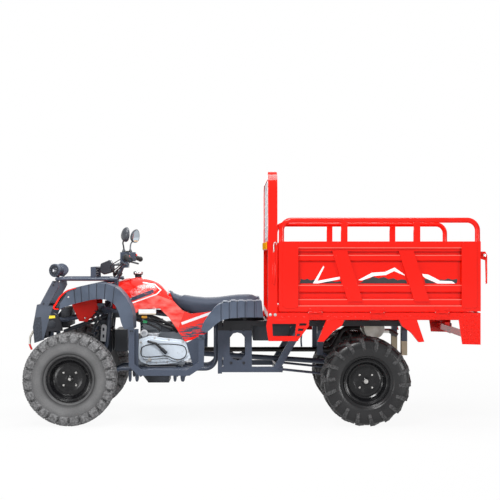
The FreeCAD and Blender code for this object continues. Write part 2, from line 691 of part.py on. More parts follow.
# Engine: the block, a finned cylinder, the fan shroud ahead of it and the
# feet that stand on the cradle's cross tubes.
engine_floor = 352.0
engine_half = 148.0
engine_pieces = [block(engine_front_x, engine_rear_x, -engine_half, engine_half, engine_floor, 500),
                 block(-690, -570, -62, 62, 500, 640),
                 block(-600, -430, -90, 90, 500, 560),
                 rod(at(-520, engine_half, 440), at(-520, 178, 440), 78)]
for fin in range(6):
    z = 520 + 19 * fin
    engine_pieces.append(block(-704, -556, -78, 78, z, z + 6))
for x in (engine_front_x + 30, engine_rear_x - 30):
    engine_pieces.append(block(x - 14, x + 14, -90, 90, frame_low_z + stay_radius + rest_gap, engine_floor))
engine_pieces.append(block(-868, -786, -165, 165, 438, 578))
engine_pieces.append(block(-786, engine_front_x, -60, 60, 470, 540))
drive_head = at(-336, 0, 413)
drive_tail = at(610, 0, 352)
drive_step = (drive_tail - drive_head).normalize()
engine_pieces.append(rod(drive_head - drive_step * 90, drive_head, 40))
keep("engine", join(engine_pieces))

# Belt case on the left: a long pressed cover, round at both ends, with a
# raised rim and the kick lever on it.
case_outline = [(-712, 517), (-717, 400), (-700, 372), (-646, 352), (-540, 356), (-459, 369), (-400, 380),
                (-372, 404), (-372, 452), (-400, 496), (-440, 514), (-560, 526), (-640, 540)]
case_y = engine_half + rest_gap
case_face = 190.0
case = side_plate(case_outline, -case_face + 8, -case_y)
case_middle = at(-545, 0, 446)
raised = side_plate([(case_middle.x + 0.86 * (x - case_middle.x), case_middle.z + 0.8 * (z - case_middle.z))
                     for x, z in case_outline], -case_face, -case_y)
kick = bent_tube([at(-650, -case_face + 10, 505), at(-650, -208, 505), at(-600, -212, 492), at(-548, -214, 444)], 8, 14)
keep("belt_case", join([case, raised, kick]))

# Exhaust: a pipe from the cylinder's right side under the load frame to
# a round silencer that hangs between the rails.
drum_x = 825.0
drum_z = 578.0
drum_radius = 65.0
rail_inner = load_y - beam / 2
pipe_y = 186.0
pipe_z = 424.0
pipe_run = [(-640, 78 + rest_gap, 585), (-640, 200, 585), (-600, 214, 470), (-540, 214, pipe_z), (-330, pipe_y, pipe_z),
            (560, pipe_y, pipe_z), (640, pipe_y, drum_z - 10), (drum_x - 40, pipe_y, drum_z)]
drum = rod(at(drum_x, -30, drum_z), at(drum_x, 215, drum_z), drum_radius)
drum_boss = rod(at(drum_x, 215, drum_z + 42), at(drum_x, rail_inner - rest_gap, drum_z + 42), 13)
tail = bent_tube([at(drum_x + 20, 40, drum_z - 20), at(drum_x + 110, 40, drum_z - 20), at(drum_x + 160, 40, drum_z - 50)], 15, 30)
keep("exhaust", join([bent_tube([at(*point) for point in pipe_run], 16, 60), drum, drum_boss, tail]))

# Skid plate hung under the cradle's cross tubes.
skid_top = frame_low_z - stay_radius - rest_gap
skid_outline = [(-716, skid_top), (-716, 290), (-690, 276), (-655, 231), (-521, 231), (-518, 290), (-440, 295), (-440, skid_top)]
skid_hollow = [(-711, skid_top + 5), (-711, 293), (-687, 280), (-652, 236), (-526, 236), (-523, 294), (-445, 300), (-445, skid_top + 5)]
skid = side_plate(skid_outline, -118, 118).cut(side_plate(skid_hollow, -113, 113))
skid_bars = [block(engine_front_x + 20, engine_front_x + 40, -118, 118, skid_top - 5, skid_top),
             block(engine_rear_x - 40, engine_rear_x - 25, -118, 118, skid_top - 5, skid_top)]
keep("skid_plate", join([skid, *skid_bars]))

# Load frame: a welded portal behind the seat, two long rails under the
# bed, lower rails with a diagonal brace, hangers for the rear springs,
# fender posts and the eyes of the tipping hinge.
low_beam = load_low_z - beam
rail_floor = load_top_z - beam
portal_front_x = frame_rear_x + frame_tube + rest_gap
spring_y = 240.0
spring_half = 23.0
spring_front_x = 452.0
spring_rear_x = 990.0
spring_eye_z = 440.0
spring_eye = 15.0
spring_pin = 7.0
pivot_z = load_top_z - beam / 2
pivot_pin = 9.0
window_middle = (-78.0, 478.0)
near_beam = load_y - beam / 2
far_beam = load_y + beam / 2
link_eye = 13.5
pad_half = 32.0
link_root = at(214, load_y, low_beam + beam / 2)
link_head = at(rear_axle_x - pad_half - link_eye - rest_gap, load_y, rear_axle_z + 4)
link_step = (link_head - link_root).normalize()


def side_beam(x0, x1, z0, z1):
    return block(x0, x1, near_beam, far_beam, z0, z1)


window_plate = block(-132, -21, far_beam - 6, far_beam, load_low_z, rail_floor)
window = side_plate([(-126, 425), (-104, 396), (-78, 389), (-50, 396), (-27, 425), (-27, 532), (-50, 560),
                     (-78, 567), (-104, 560), (-126, 532)], far_beam - 20, far_beam + 10)
rail_pieces = [
    side_beam(portal_front_x, -175, 304, 635),
    side_beam(-175, -168, 420, 600),
    side_beam(-168, -132, load_low_z, rail_floor),
    side_beam(-21, 16, load_low_z, rail_floor),
    side_beam(-175, 199, low_beam, load_low_z),
    side_beam(-168, load_end_x - 14, rail_floor, load_top_z),
    window_plate.cut(window),
    side_plate([(156, load_low_z), (205, load_low_z), (360, rail_floor), (308, rail_floor)], near_beam, far_beam),
    rod(link_root - link_step * 20, link_root, 20),
    Part.makeCylinder(beam / 2, beam, at(load_end_x, near_beam, pivot_z), at(0, 1, 0)),
    Part.makeCylinder(pivot_pin, beam + 40, at(load_end_x, near_beam - 20, pivot_z), at(0, 1, 0)),
    block(-40, -20, load_y - 10, load_y + 10, load_top_z, 768)]
for x in (spring_front_x, spring_rear_x):
    for y in (spring_y - spring_half - 6.5, spring_y + spring_half + 0.5):
        rail_pieces.append(block(x - 18, x + 18, y, y + 6, spring_eye_z - 18, rail_floor))
    rail_pieces.append(block(x - 18, x + 18, spring_y - spring_half - 6, spring_y + spring_half + 6, 560, rail_floor + 4))
    rail_pieces.append(Part.makeCylinder(spring_pin, 2 * spring_half + 13,
                                         at(x, spring_y - spring_half - 6.5, spring_eye_z), at(0, 1, 0)))
load_pieces = []
for piece in rail_pieces:
    load_pieces.extend(both_sides(piece))
cross_beams = [(portal_front_x, -175, 450, 484), (portal_front_x, -175, 596, 630), (98, 132, rail_floor, load_top_z),
               (396, 430, rail_floor, load_top_z), (940, 966, rail_floor, load_top_z), (160, 194, low_beam, load_low_z)]
for x0, x1, z0, z1 in cross_beams:
    load_pieces.append(block(x0, x1, -load_y, load_y, z0, z1))
bed_rest_z = load_top_z + 5
for x in (140, 560):
    load_pieces.extend(both_sides(block(x, x + 60, near_beam, far_beam, load_top_z, bed_rest_z - rest_gap)))
load_frame = join(load_pieces)
deck_room = both_sides(arch_band(rear_top, skin + rest_gap, 200, rear_fender_y))
for room in deck_room:
    load_frame = load_frame.cut(room)
keep("load_frame", load_frame)

# Battery box under the front of the bed, against a cross beam.
battery = block(22, 262, -222, 222, 512, rail_floor - rest_gap)
battery = battery.makeFillet(8, [edge for edge in battery.Edges if abs(edge.tangentAt(0).y) > 0.9])
keep("battery_box", battery)

# Rear axle: a tube with the differential at the middle, pads under the
# springs, brake backing plates and the stub shafts for the hubs.
axle_tube = 30.0
plate_y = 300.0
axle_at = at(rear_axle_x, 0, rear_axle_z)
pack_floor = rear_axle_z + axle_tube + 6
leaf = 7.0
leaves = 4
shaft_end = rear_wheel_y + rear_disc + 8
axle_pieces = [
    Part.makeCylinder(axle_tube, 2 * plate_y, at(rear_axle_x, -plate_y, rear_axle_z), at(0, 1, 0)),
    Part.makeSphere(88, axle_at),
    rod(drive_tail, drive_tail + drive_step * 90, 34)]
for side in (-1, 1):
    axle_pieces.append(block(rear_axle_x - pad_half, rear_axle_x + pad_half,
                             *sorted((side * (spring_y - spring_half), side * (spring_y + spring_half))),
                             rear_axle_z, pack_floor - rest_gap))
    axle_pieces.append(rod(at(rear_axle_x, side * plate_y, rear_axle_z),
                           at(rear_axle_x, side * (plate_y + 8), rear_axle_z), 90))
    axle_pieces.append(rod(at(rear_axle_x, side * plate_y, rear_axle_z),
                           at(rear_axle_x, side * shaft_end, rear_axle_z), shaft_radius))
keep("rear_axle", join(axle_pieces))

# Leaf springs: four curved leaves a side, shorter towards the bottom,
# with an eye at each end of the top leaf.
span = (spring_rear_x - spring_front_x) / 2
spring_x = (spring_rear_x + spring_front_x) / 2
sag = spring_eye_z - pack_floor - leaves * leaf
arc_radius = (span ** 2 + sag ** 2) / (2 * sag)
full_turn = math.degrees(math.asin(span / arc_radius))

spring_pieces = []
centre_z = pack_floor + leaves * leaf + arc_radius
for layer in range(leaves):
    turn = full_turn * (1 - 0.22 * layer)
    inner = arc_radius + layer * leaf
    sweep = Part.makeCylinder(inner + leaf, 2 * spring_half, at(0, 0, 0), at(0, 0, 1), 2 * turn)
    sweep = sweep.cut(Part.makeCylinder(inner, 2 * spring_half, at(0, 0, 0), at(0, 0, 1)))
    sweep.rotate(at(0, 0, 0), at(0, 0, 1), -90 - turn)
    sweep.rotate(at(0, 0, 0), at(1, 0, 0), 90)
    spring_pieces.append(placed(sweep, spring_x, spring_y + spring_half, centre_z))
for x in (spring_front_x, spring_rear_x):
    spring_pieces.append(Part.makeCylinder(spring_eye, 2 * spring_half,
                                           at(x, spring_y - spring_half, spring_eye_z), at(0, 1, 0)))
spring = join(spring_pieces)
for x in (spring_front_x, spring_rear_x):
    spring = spring.cut(Part.makeCylinder(spring_pin + running_fit, 2 * spring_half,
                                          at(x, spring_y - spring_half, spring_eye_z), at(0, 1, 0)))
keep("leaf_springs", *both_sides(spring))

# Drive shaft from the gearbox to the differential, and the radius rods
# from the load frame's lower corners to the axle.
shaft_start = drive_head + drive_step * rest_gap
shaft_finish = drive_tail - drive_step * rest_gap
drive_shaft = join([rod(shaft_start, shaft_finish, 17), rod(shaft_start, shaft_start + drive_step * 30, 28),
                    rod(shaft_finish - drive_step * 30, shaft_finish, 28)])
radius_rod = join([rod(link_root + link_step * rest_gap, link_head, 8),
                   Part.makeCylinder(link_eye, 20, link_head - at(0, 10, 0), at(0, 1, 0))])
keep("drive_links", drive_shaft, *both_sides(radius_rod))

# Bed base: a floor sheet on cross members and two long beams, with side
# and end sills, hinge barrels for the sides and gate, and tipping ears.
sill = 4.0
long_half = beam / 2 + 0.5
cross_members = (250.0, 520.0, 850.0, 1180.0)
side_hinges = (399.0, 776.0, 1173.0)
gate_hinges = (-400.0, 0.0, 400.0)
side_axis_y = bed_half + hinge_radius + 1
gate_axis_x = side_rear_x + hinge_radius + 1
barrel = 24.0
barrel_start = 16.0
base_pieces = [
    block(bed_front_x, bed_rear_x, -bed_half, bed_half, bed_ledge_z - sill, bed_ledge_z),
    block(side_front_x - skin, side_rear_x - floor_edge, floor_edge - bed_half, bed_half - floor_edge,
          bed_ledge_z, bed_floor_z),
    block(bed_front_x, bed_front_x + sill, -bed_half, bed_half, bed_rim_z, bed_ledge_z),
    block(bed_rear_x - sill, bed_rear_x, -bed_half, bed_half, bed_rim_z, bed_ledge_z)]
for side in (-1, 1):
    base_pieces.append(block(bed_front_x, bed_rear_x, *sorted((side * (bed_half - sill), side * bed_half)),
                             bed_rim_z, bed_ledge_z))
    base_pieces.append(block(bed_front_x, bed_rear_x, *sorted((side * (bed_half - 44), side * bed_half)),
                             bed_rim_z, bed_rim_z + sill))
    base_pieces.append(block(bed_front_x, bed_rear_x, *sorted((side * (load_y - long_half), side * (load_y + long_half))),
                             bed_rest_z, bed_ledge_z))
    for face in (load_y - long_half - 6, load_y + long_half):
        base_pieces.append(block(load_end_x - 22, load_end_x + 22, *sorted((side * face, side * (face + 6))),
                                 pivot_z - 20, bed_ledge_z))
    for x in side_hinges:
        for start in (x - barrel_start - barrel, x + barrel_start):
            base_pieces.append(Part.makeCylinder(hinge_radius, barrel, at(start, side * side_axis_y, bed_floor_z), at(1, 0, 0)))
            base_pieces.append(block(start, start + barrel, *sorted((side * (bed_half - 1), side * side_axis_y)),
                                     bed_floor_z - 12, bed_ledge_z))
        base_pieces.append(Part.makeCylinder(hinge_pin, 2 * barrel_start + 2, at(x - barrel_start - 1, side * side_axis_y, bed_floor_z), at(1, 0, 0)))
for x in cross_members:
    base_pieces.append(block(x, x + 40, 1 - bed_half, bed_half - 1, bed_rim_z, bed_ledge_z))
for y in gate_hinges:
    for start in (y - barrel_start - barrel, y + barrel_start):
        base_pieces.append(Part.makeCylinder(hinge_radius, barrel, at(gate_axis_x, start, bed_floor_z), at(0, 1, 0)))
        base_pieces.append(block(bed_rear_x - 1, gate_axis_x, start, start + barrel, bed_floor_z - 12, bed_floor_z - 1))
    base_pieces.append(Part.makeCylinder(hinge_pin, 2 * barrel_start + 2, at(gate_axis_x, y - barrel_start - 1, bed_floor_z), at(0, 1, 0)))
bed_base = join(base_pieces)
for side in (-1, 1):
    bed_base = bed_base.cut(Part.makeCylinder(pivot_pin + running_fit, 60,
                                              at(load_end_x, side * load_y - 30, pivot_z), at(0, 1, 0)))
keep("bed_base", bed_base)

# Headboard: a tall hoop of rectangular tube on the floor's front edge,
# with a sheet below and a latch bar on each post.
post_half = 40.0
head_rear_x = bed_front_x + headboard_depth
hoop = block(bed_front_x, head_rear_x, -bed_half, bed_half, bed_ledge_z, headboard_z)
top_edges = [edge for edge in hoop.Edges
             if abs(edge.tangentAt(0).x) > 0.9 and edge.CenterOfMass.z > headboard_z - 1]
hoop = hoop.makeFillet(130, top_edges)


def head_window(room, floor):
    """The room inside the hoop above a floor, smaller by room all round."""
    top = headboard_z - post_half - room
    side = bed_half - post_half - room
    window = block(bed_front_x - 1, head_rear_x + 1, -side, side, floor, top)
    corners = [edge for edge in window.Edges
               if abs(edge.tangentAt(0).x) > 0.9 and edge.CenterOfMass.z > top - 1]
    return window.makeFillet(90 - room, corners)


hoop = hoop.cut(head_window(0, bed_ledge_z - 1))
bar_middle = bed_front_x + headboard_depth / 2
head_pieces = [hoop, block(bar_middle - 2, bar_middle + 2, -bed_half + 20, bed_half - 20, bed_ledge_z, side_top_z),
               block(bar_middle - 15, bar_middle + 15, -bed_half + 20, bed_half - 20, side_top_z - 30, side_top_z)]
for side in (-1, 1):
    head_pieces.append(block(138, 152, *sorted((side * (bed_half - 1), side * (bed_half + 9))), 885, 1080))
keep("headboard", join(head_pieces))

# Grille in the headboard's upper opening: a flat welded lattice set close
# to the front of the hoop.
grille_x = bed_front_x + 6
grille_thick = 6.0
grille_pitch = 70.0
grille_bar = 8.0
grille_half = 7.5 * grille_pitch
bars = []
for bar in range(16):
    y = bar * grille_pitch - grille_half
    bars.append(block(grille_x, grille_x + grille_thick, y - grille_bar / 2, y + grille_bar / 2, side_top_z, headboard_z))
for bar in range(6):
    z = side_top_z + grille_pitch * (bar + 0.5)
    bars.append(block(grille_x, grille_x + grille_thick, -bed_half, bed_half, z - grille_bar / 2, z + grille_bar / 2))
keep("headboard_grille", join(bars).common(head_window(rest_gap, side_top_z + rest_gap)))

# Drop sides: a framed sheet with two pressed ribs, two slanted braces and
# wide end plates, and a bent rail on top with two posts.
side_floor_z = bed_floor_z + swing_gap
side_inner = bed_half - side_depth
sheet_y = side_inner + 8
rib_spans = ((1030, 1062), (838, 878))
brace_tops = (502.0, 909.0)
brace_run = 96.0
brace_width = 92.0
rail_y = bed_half - side_depth / 2
post_spots = (577.0, 1022.0)


def right_side():
    pieces = [
        block(side_front_x, side_rear_x, sheet_y, sheet_y + skin, side_floor_z, side_top_z),
        block(side_front_x, side_rear_x, side_inner, bed_half, side_top_z - 40, side_top_z),
        block(side_front_x, side_rear_x, side_inner, bed_half, side_floor_z, 752),
        block(side_front_x, 290, side_inner, bed_half, side_floor_z, side_top_z),
        block(1306, side_rear_x, side_inner, bed_half, side_floor_z, side_top_z),
        block(290, 1306, sheet_y, bed_half - 12, 1086, 1110),
        block(290, 1306, sheet_y, bed_half - 12, 750, 790)]
    for low, high in rib_spans:
        rib = end_plate([(sheet_y, low - 8), (bed_half - 12, low), (bed_half - 12, high), (sheet_y, high + 8)], 290, 1306)
        pieces.append(rib)
    for x in brace_tops:
        pieces.append(side_plate([(x, 1090), (x + brace_width, 1090), (x + brace_width + brace_run, 780),
                                  (x + brace_run, 780)], sheet_y, bed_half))
    rail_points = [(193, side_top_z), (193, rail_top_z), (1394, rail_top_z), (1394, side_top_z)]
    pieces.append(bent_tube([at(x, rail_y, z) for x, z in rail_points], rail_radius, 90))
    for x in post_spots:
        pieces.append(block(x - rail_post / 2, x + rail_post / 2, rail_y - 12, rail_y + 12, side_top_z, rail_top_z))
    latch = [(side_rear_x, 1084), (tail_x - 12, 1084), (tail_x, 1060), (tail_x, 890), (tail_x - 8, 884),
             (tail_x - 12, 1030), (side_rear_x, 1040)]
    pieces.append(side_plate(latch, side_inner + 4, side_inner + 14))
    for x in side_hinges:
        start = x - barrel_start + rest_gap
        length = 2 * (barrel_start - rest_gap)
        pieces.append(Part.makeCylinder(hinge_radius, length, at(start, side_axis_y, bed_floor_z), at(1, 0, 0)))
        pieces.append(block(start, start + length, bed_half - 1, side_axis_y, bed_floor_z + 2, side_floor_z + 10))
    whole = join(pieces)
    for x in side_hinges:
        whole = whole.cut(Part.makeCylinder(hinge_pin + running_fit, 2 * barrel_start,
                                            at(x - barrel_start, side_axis_y, bed_floor_z), at(1, 0, 0)))
    return whole


drop_side_right = right_side()
keep("drop_side_right", drop_side_right)
keep("drop_side_left", mirrored(drop_side_right))

# Tailgate: a framed sheet with two ribs and end plates, between the ends
# of the drop sides, hinged along its foot.
gate_half = side_inner - swing_gap
gate_front_x = side_rear_x - gate_depth
gate_sheet_x = gate_front_x + 12
gate_pieces = [
    block(gate_sheet_x, gate_sheet_x + skin, -gate_half, gate_half, side_floor_z, side_top_z),
    block(gate_front_x, side_rear_x, -gate_half, gate_half, side_top_z - 40, side_top_z),
    block(gate_front_x, side_rear_x, -gate_half, gate_half, side_floor_z, 752)]
for side in (-1, 1):
    gate_pieces.append(block(gate_front_x, side_rear_x, *sorted((side * (gate_half - 90), side * gate_half)),
                             side_floor_z, side_top_z))
for low, high in rib_spans:
    gate_pieces.append(side_plate([(gate_sheet_x, low - 8), (side_rear_x - 10, low), (side_rear_x - 10, high),
                                   (gate_sheet_x, high + 8)], -gate_half + 80, gate_half - 80))
for y in gate_hinges:
    start = y - barrel_start + rest_gap
    length = 2 * (barrel_start - rest_gap)
    gate_pieces.append(Part.makeCylinder(hinge_radius, length, at(gate_axis_x, start, bed_floor_z), at(0, 1, 0)))
    gate_pieces.append(block(side_rear_x - 1, gate_axis_x, start, start + length, bed_floor_z + 2, side_floor_z + 10))
tailgate = join(gate_pieces)
for y in gate_hinges:
    tailgate = tailgate.cut(Part.makeCylinder(hinge_pin + running_fit, 2 * barrel_start,
                                              at(gate_axis_x, y - barrel_start, bed_floor_z), at(0, 1, 0)))
keep("tailgate", tailgate)

# Bed brackets: a windowed side step ahead of each rear wheel, curved
# guards before and behind it, and corner plates with a lamp bar at the tail.
step_outline = [(107, bed_rim_z), (362, bed_rim_z), (360, 627), (289, 536), (113, 536), (99, 628)]
step_window = [(136, 642), (283, 642), (275, 566), (140, 566)]
step = side_plate(step_outline, bed_half - 30, bed_half)
step = step.cut(side_plate(step_window, bed_half - 40, bed_half + 10))
for slot in range(3):
    x = 300 - 8 * slot
    z = 645 - 32 * slot
    width = 48 - 11 * slot
    step = step.cut(side_plate([(x, z - 15), (x + width - 6, z - 15), (x + width, z), (x + 3, z)],
                               bed_half - 40, bed_half + 10))
front_guard = side_plate([(468, bed_rim_z), (578, bed_rim_z), (564, 632), (507, 593), (452, 532), (414, 532)],
                         bed_half - 40, bed_half)
rear_guard = side_plate([(911, bed_rim_z), (1021, bed_rim_z), (1066, 532), (1031, 529), (984, 588), (929, 628)],
                        bed_half - 40, bed_half)
keep("side_steps", *both_sides(step))
keep("bed_guards", *both_sides(front_guard), *both_sides(rear_guard))

corner_side = side_plate([(1275, bed_rim_z), (1297, 517), (bed_rear_x, 514), (bed_rear_x, bed_rim_z)],
                         bed_half - sill, bed_half)
corner_back = block(bed_rear_x - sill, bed_rear_x, 440, bed_half, 514, bed_rim_z)
lamp_bar = block(1330, 1346, 1 - bed_half, bed_half - 1, 548, 588)
tail_lamps = [block(1346, 1378, *sorted((side * 300, side * 420)), 536, 600) for side in (-1, 1)]
keep("tail_guards", join([*both_sides(corner_side), *both_sides(corner_back), lamp_bar, *tail_lamps]))

os.makedirs("parts", exist_ok=True)
for name, shape in parts.items():
    shape.exportStep("parts/" + name + ".step")
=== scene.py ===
import json
import math

import bmesh
import bpy
import numpy as np
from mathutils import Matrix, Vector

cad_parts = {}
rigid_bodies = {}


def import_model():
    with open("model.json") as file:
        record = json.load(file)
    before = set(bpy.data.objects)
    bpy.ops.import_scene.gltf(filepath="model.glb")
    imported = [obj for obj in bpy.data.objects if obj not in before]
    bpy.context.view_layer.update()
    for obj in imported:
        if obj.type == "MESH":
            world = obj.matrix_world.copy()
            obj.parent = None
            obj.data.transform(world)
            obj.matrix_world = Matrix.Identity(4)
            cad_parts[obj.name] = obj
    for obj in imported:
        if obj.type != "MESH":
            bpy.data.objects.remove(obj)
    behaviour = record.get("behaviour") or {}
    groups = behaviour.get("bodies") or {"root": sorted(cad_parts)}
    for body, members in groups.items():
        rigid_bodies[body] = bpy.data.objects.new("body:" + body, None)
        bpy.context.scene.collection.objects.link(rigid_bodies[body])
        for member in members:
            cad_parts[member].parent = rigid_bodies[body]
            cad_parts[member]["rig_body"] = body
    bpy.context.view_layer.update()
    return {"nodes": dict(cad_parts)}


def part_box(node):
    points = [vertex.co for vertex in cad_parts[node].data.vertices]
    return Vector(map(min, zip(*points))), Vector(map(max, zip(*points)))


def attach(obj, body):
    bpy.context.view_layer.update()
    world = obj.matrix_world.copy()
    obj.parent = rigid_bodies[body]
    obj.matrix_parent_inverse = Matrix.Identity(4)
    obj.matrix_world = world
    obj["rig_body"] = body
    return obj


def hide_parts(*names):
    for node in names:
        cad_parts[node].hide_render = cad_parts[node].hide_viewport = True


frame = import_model()

# The camera stands level with the drop sides on the rider's left. It has the long
# lens of the photograph, which is shifted a little to frame the vehicle.
def linked(name, data):
    made = bpy.data.objects.new(name, data)
    bpy.context.collection.objects.link(made)
    return made


photo_focus = 1218 / 500
film_width = 36
camera_data = bpy.data.cameras.new("studio_camera")
camera_data.sensor_width = film_width
camera_data.lens = film_width * photo_focus
camera_data.shift_x, camera_data.shift_y = 0.0288, 0.004
camera = linked("studio_camera", camera_data)
camera.location = (-0.088, -8.045, 1.081)
camera.rotation_euler = (math.radians(90), 0, 0)
bpy.context.scene.camera = camera
bpy.context.scene.view_settings.view_transform = "Standard"


# Finishes are node trees written as sums. A Value is one output of a node, and a
# Finish is one material. Their lengths are in metres, as the surface point is.
def sum_of(operation):
    return lambda value, other: value.owner.maths(operation, value, other)


class Value:
    def __init__(self, owner, socket):
        self.owner, self.socket = owner, socket

    __add__ = __radd__ = sum_of("ADD")
    __mul__ = __rmul__ = sum_of("MULTIPLY")
    __sub__, __gt__, __lt__ = map(sum_of, ("SUBTRACT", "GREATER_THAN", "LESS_THAN"))

    def span(self, low, high):
        """0 below low, 1 above high and a smooth rise between them."""
        return self.owner.node("MapRange", {"interpolation_type": "SMOOTHSTEP"},
                               {"Value": self, "From Min": low, "From Max": high})


class Nodes:
    def __init__(self, tree):
        self.tree = tree

    def plug(self, target, value):
        if isinstance(value, Value):
            self.tree.links.new(value.socket, target)
        else:
            target.default_value = value

    def node(self, kind, settings=None, sockets=None, out=0):
        """Any node, by its type, its settings (a ramp's stops are greys) and what its sockets get."""
        made = self.tree.nodes.new("ShaderNode" + kind)
        for key, value in (settings or {}).items():
            if key == "stops":
                ramp = made.color_ramp.elements
                ramp[0].position, ramp[1].position = value[0][0], value[-1][0]
                for position, grey in value[1:-1]:
                    ramp.new(position)
                for element, (position, grey) in zip(ramp, value):
                    element.color = (grey, grey, grey, 1)
            else:
                setattr(made, key, value)
        for key, value in (sockets or {}).items():
            self.plug(made.inputs[key], value)
        return Value(self, made.outputs[out])

    def maths(self, operation, first, second):
        return self.node("Math", {"operation": operation}, {0: first, 1: second})

    def vector_maths(self, operation, first, second=(0, 0, 0), out=0):
        return self.node("VectorMath", {"operation": operation}, {0: first, 1: second}, out)

    def ray(self, kind):
        """1 where the ray is of a kind, such as Camera."""
        return self.node("LightPath", out=f"Is {kind} Ray")


class Finish(Nodes):
    def __init__(self, name, slot="black_plastic", roughness=0.5, metallic=0.0, specular=0.5,
                 coat=0.0, coat_roughness=0.03):
        self.slot = slot
        self.material = bpy.data.materials.new(name)
        self.material.use_nodes = True
        super().__init__(self.material.node_tree)
        self.shader = self.tree.nodes["Principled BSDF"]
        for socket, value in (("Roughness", roughness), ("Metallic", metallic),
                              ("Specular IOR Level", specular), ("Coat Weight", coat),
                              ("Coat Roughness", coat_roughness)):
            self.set(socket, value)
        self.place = self.node("TexCoord", out="Object")

    def set(self, socket, value):
        self.plug(self.shader.inputs[socket], value)

    def axis(self, index):
        """One coordinate of the surface point."""
        return self.node("SeparateXYZ", None, {0: self.place}, out=index)

    def along(self, x, y, z):
        """How far the surface point lies along a direction."""
        return self.vector_maths("DOT_PRODUCT", self.place, (x, y, z), out=1)

    def size_of(self, value):
        return self.maths("ABSOLUTE", value, 0)

    def stripe(self, start, end, width):
        """1 on a straight band of the side view between two (x, z) points, 0 off it."""
        (x0, z0), (x1, z1) = start, end
        length = math.hypot(x1 - x0, z1 - z0)
        dx, dz = (x1 - x0) / length, (z1 - z0) / length
        run = self.along(dx, 0, dz) - (x0 * dx + z0 * dz)
        off = self.size_of(self.along(-dz, 0, dx) - (z0 * dx - x0 * dz))
        return (run > 0) * (run < length) * (off < width / 2)

    def lines(self, value, spots, width):
        """1 at each of the spots that value passes, fading to 0 over width on both sides."""
        low, high = min(spots) - 2 * width, max(spots) + 2 * width
        stops = [((spot + lean * width - low) / (high - low), 1 - abs(lean))
                 for spot in sorted(spots) for lean in (-1, 0, 1)]
        share = (value - low) * (1 / (high - low))
        return self.node("ValToRGB", {"stops": [(0.0, 0), *stops, (1.0, 0)]}, {"Fac": share})

    def noise(self, size, detail=3.0, stretch=(1, 1, 1)):
        """Cloudy noise from 0 to 1 whose blotches are about size across."""
        scale = tuple(1 / (size * s) for s in stretch)
        place = self.node("Mapping", None, {"Vector": self.place, "Scale": scale})
        return self.node("TexNoise", None, {"Vector": place, "Scale": 1.0, "Detail": detail})

    def mix(self, factor, low, high):
        """The colour low where factor is 0 and high where it is 1, colours being in thousandths."""
        low, high = (end if isinstance(end, Value) else (*(0.001 * part for part in end), 1)
                     for end in (low, high))
        return self.node("Mix", {"data_type": "RGBA"}, {0: factor, 6: low, 7: high}, out=2)

    def tint(self, factor, colour):
        """Lays a colour over the base colour, in full where factor is 1."""
        under = Value(self, self.shader.inputs["Base Color"].links[0].from_socket)
        self.set("Base Color", self.mix(factor, under, colour))

    def bump(self, height, depth, strength):
        self.set("Normal", self.node("Bump", None, {"Height": height, "Distance": depth,
                                                    "Strength": strength}))


def cloudy(name, size, detail, low, high, roughness, spread, edges=None, grain=None, **settings):
    """A finish that drifts from low to high in clouds of a size, sharpened between two edges if
    given, and is rougher by up to spread; grain is the size, depth and strength of its bumps."""
    made = Finish(name, **settings)
    cloud = made.noise(size, detail)
    if edges:
        cloud = cloud.span(*edges)
    made.set("Base Color", made.mix(cloud, low, high))
    made.set("Roughness", roughness + cloud * spread)
    if grain:
        made.bump(made.noise(grain[0], 2), *grain[1:])
    return made


def plain_paint(name, slot, low, high, roughness=0.35, coat=0.2):
    return cloudy(name, 0.02, 3, low, high, roughness, 0.15, coat=coat, specular=0.4, slot=slot)


def grained_plastic(name, low, high):
    return cloudy(name, 0.16, 4, low, high, 0.44, 0.16, (0.3, 0.7), (0.0016, 0.0003, 0.35),
                  specular=0.3)


# The studio: a pale floor under an even pale world, lit by a large soft box high on
# the camera's side, one overhead, one behind and two low ones at the sides.
def floor_white(share):
    """Diffuse white that the camera sees mostly as plain white, and wholly so far from the object."""
    made = Finish("floor_white", roughness=0.9, specular=0.0)
    made.set("Base Color", (0.6, 0.6, 0.6, 1))
    glow = made.node("Emission", None, {"Color": (1, 1, 1, 1), "Strength": 1.0})
    seen = made.ray("Camera") + made.ray("Glossy") + made.ray("Transmission")
    away = made.vector_maths("LENGTH", made.place, out=1)
    factor = (seen > 0.5) * (away.span(1.6, 4.5) * (1 - share) + share)
    blend = made.node("MixShader", None, {0: factor, 1: Value(made, made.shader.outputs[0]), 2: glow})
    made.plug(made.tree.nodes["Material Output"].inputs["Surface"], blend)
    return made.material


floor_half = 30.0
floor_corners = [(x * floor_half, y * floor_half, 0) for x, y in ((-1, -1), (1, -1), (1, 1), (-1, 1))]
floor_mesh = bpy.data.meshes.new("studio_floor")
floor_mesh.from_pydata(floor_corners, [], [(0, 1, 2, 3)])
floor_mesh.materials.append(floor_white(0.94))
floor = linked("studio_floor", floor_mesh)

world = bpy.data.worlds.new("studio_world")
bpy.context.scene.world = world
world.use_nodes = True
sky = Nodes(world.node_tree)
sky_light, sky_gloss = 0.26, 0.45
sky_level = sky.node("MapRange", None, {"Value": sky.ray("Camera") + sky.ray("Transmission"),
                                        "To Min": sky_light, "To Max": 1.0})
background = sky.tree.nodes["Background"]
background.inputs["Color"].default_value = (1, 1, 1, 1)
sky.plug(background.inputs["Strength"], sky_level + sky.ray("Glossy") * sky_gloss)

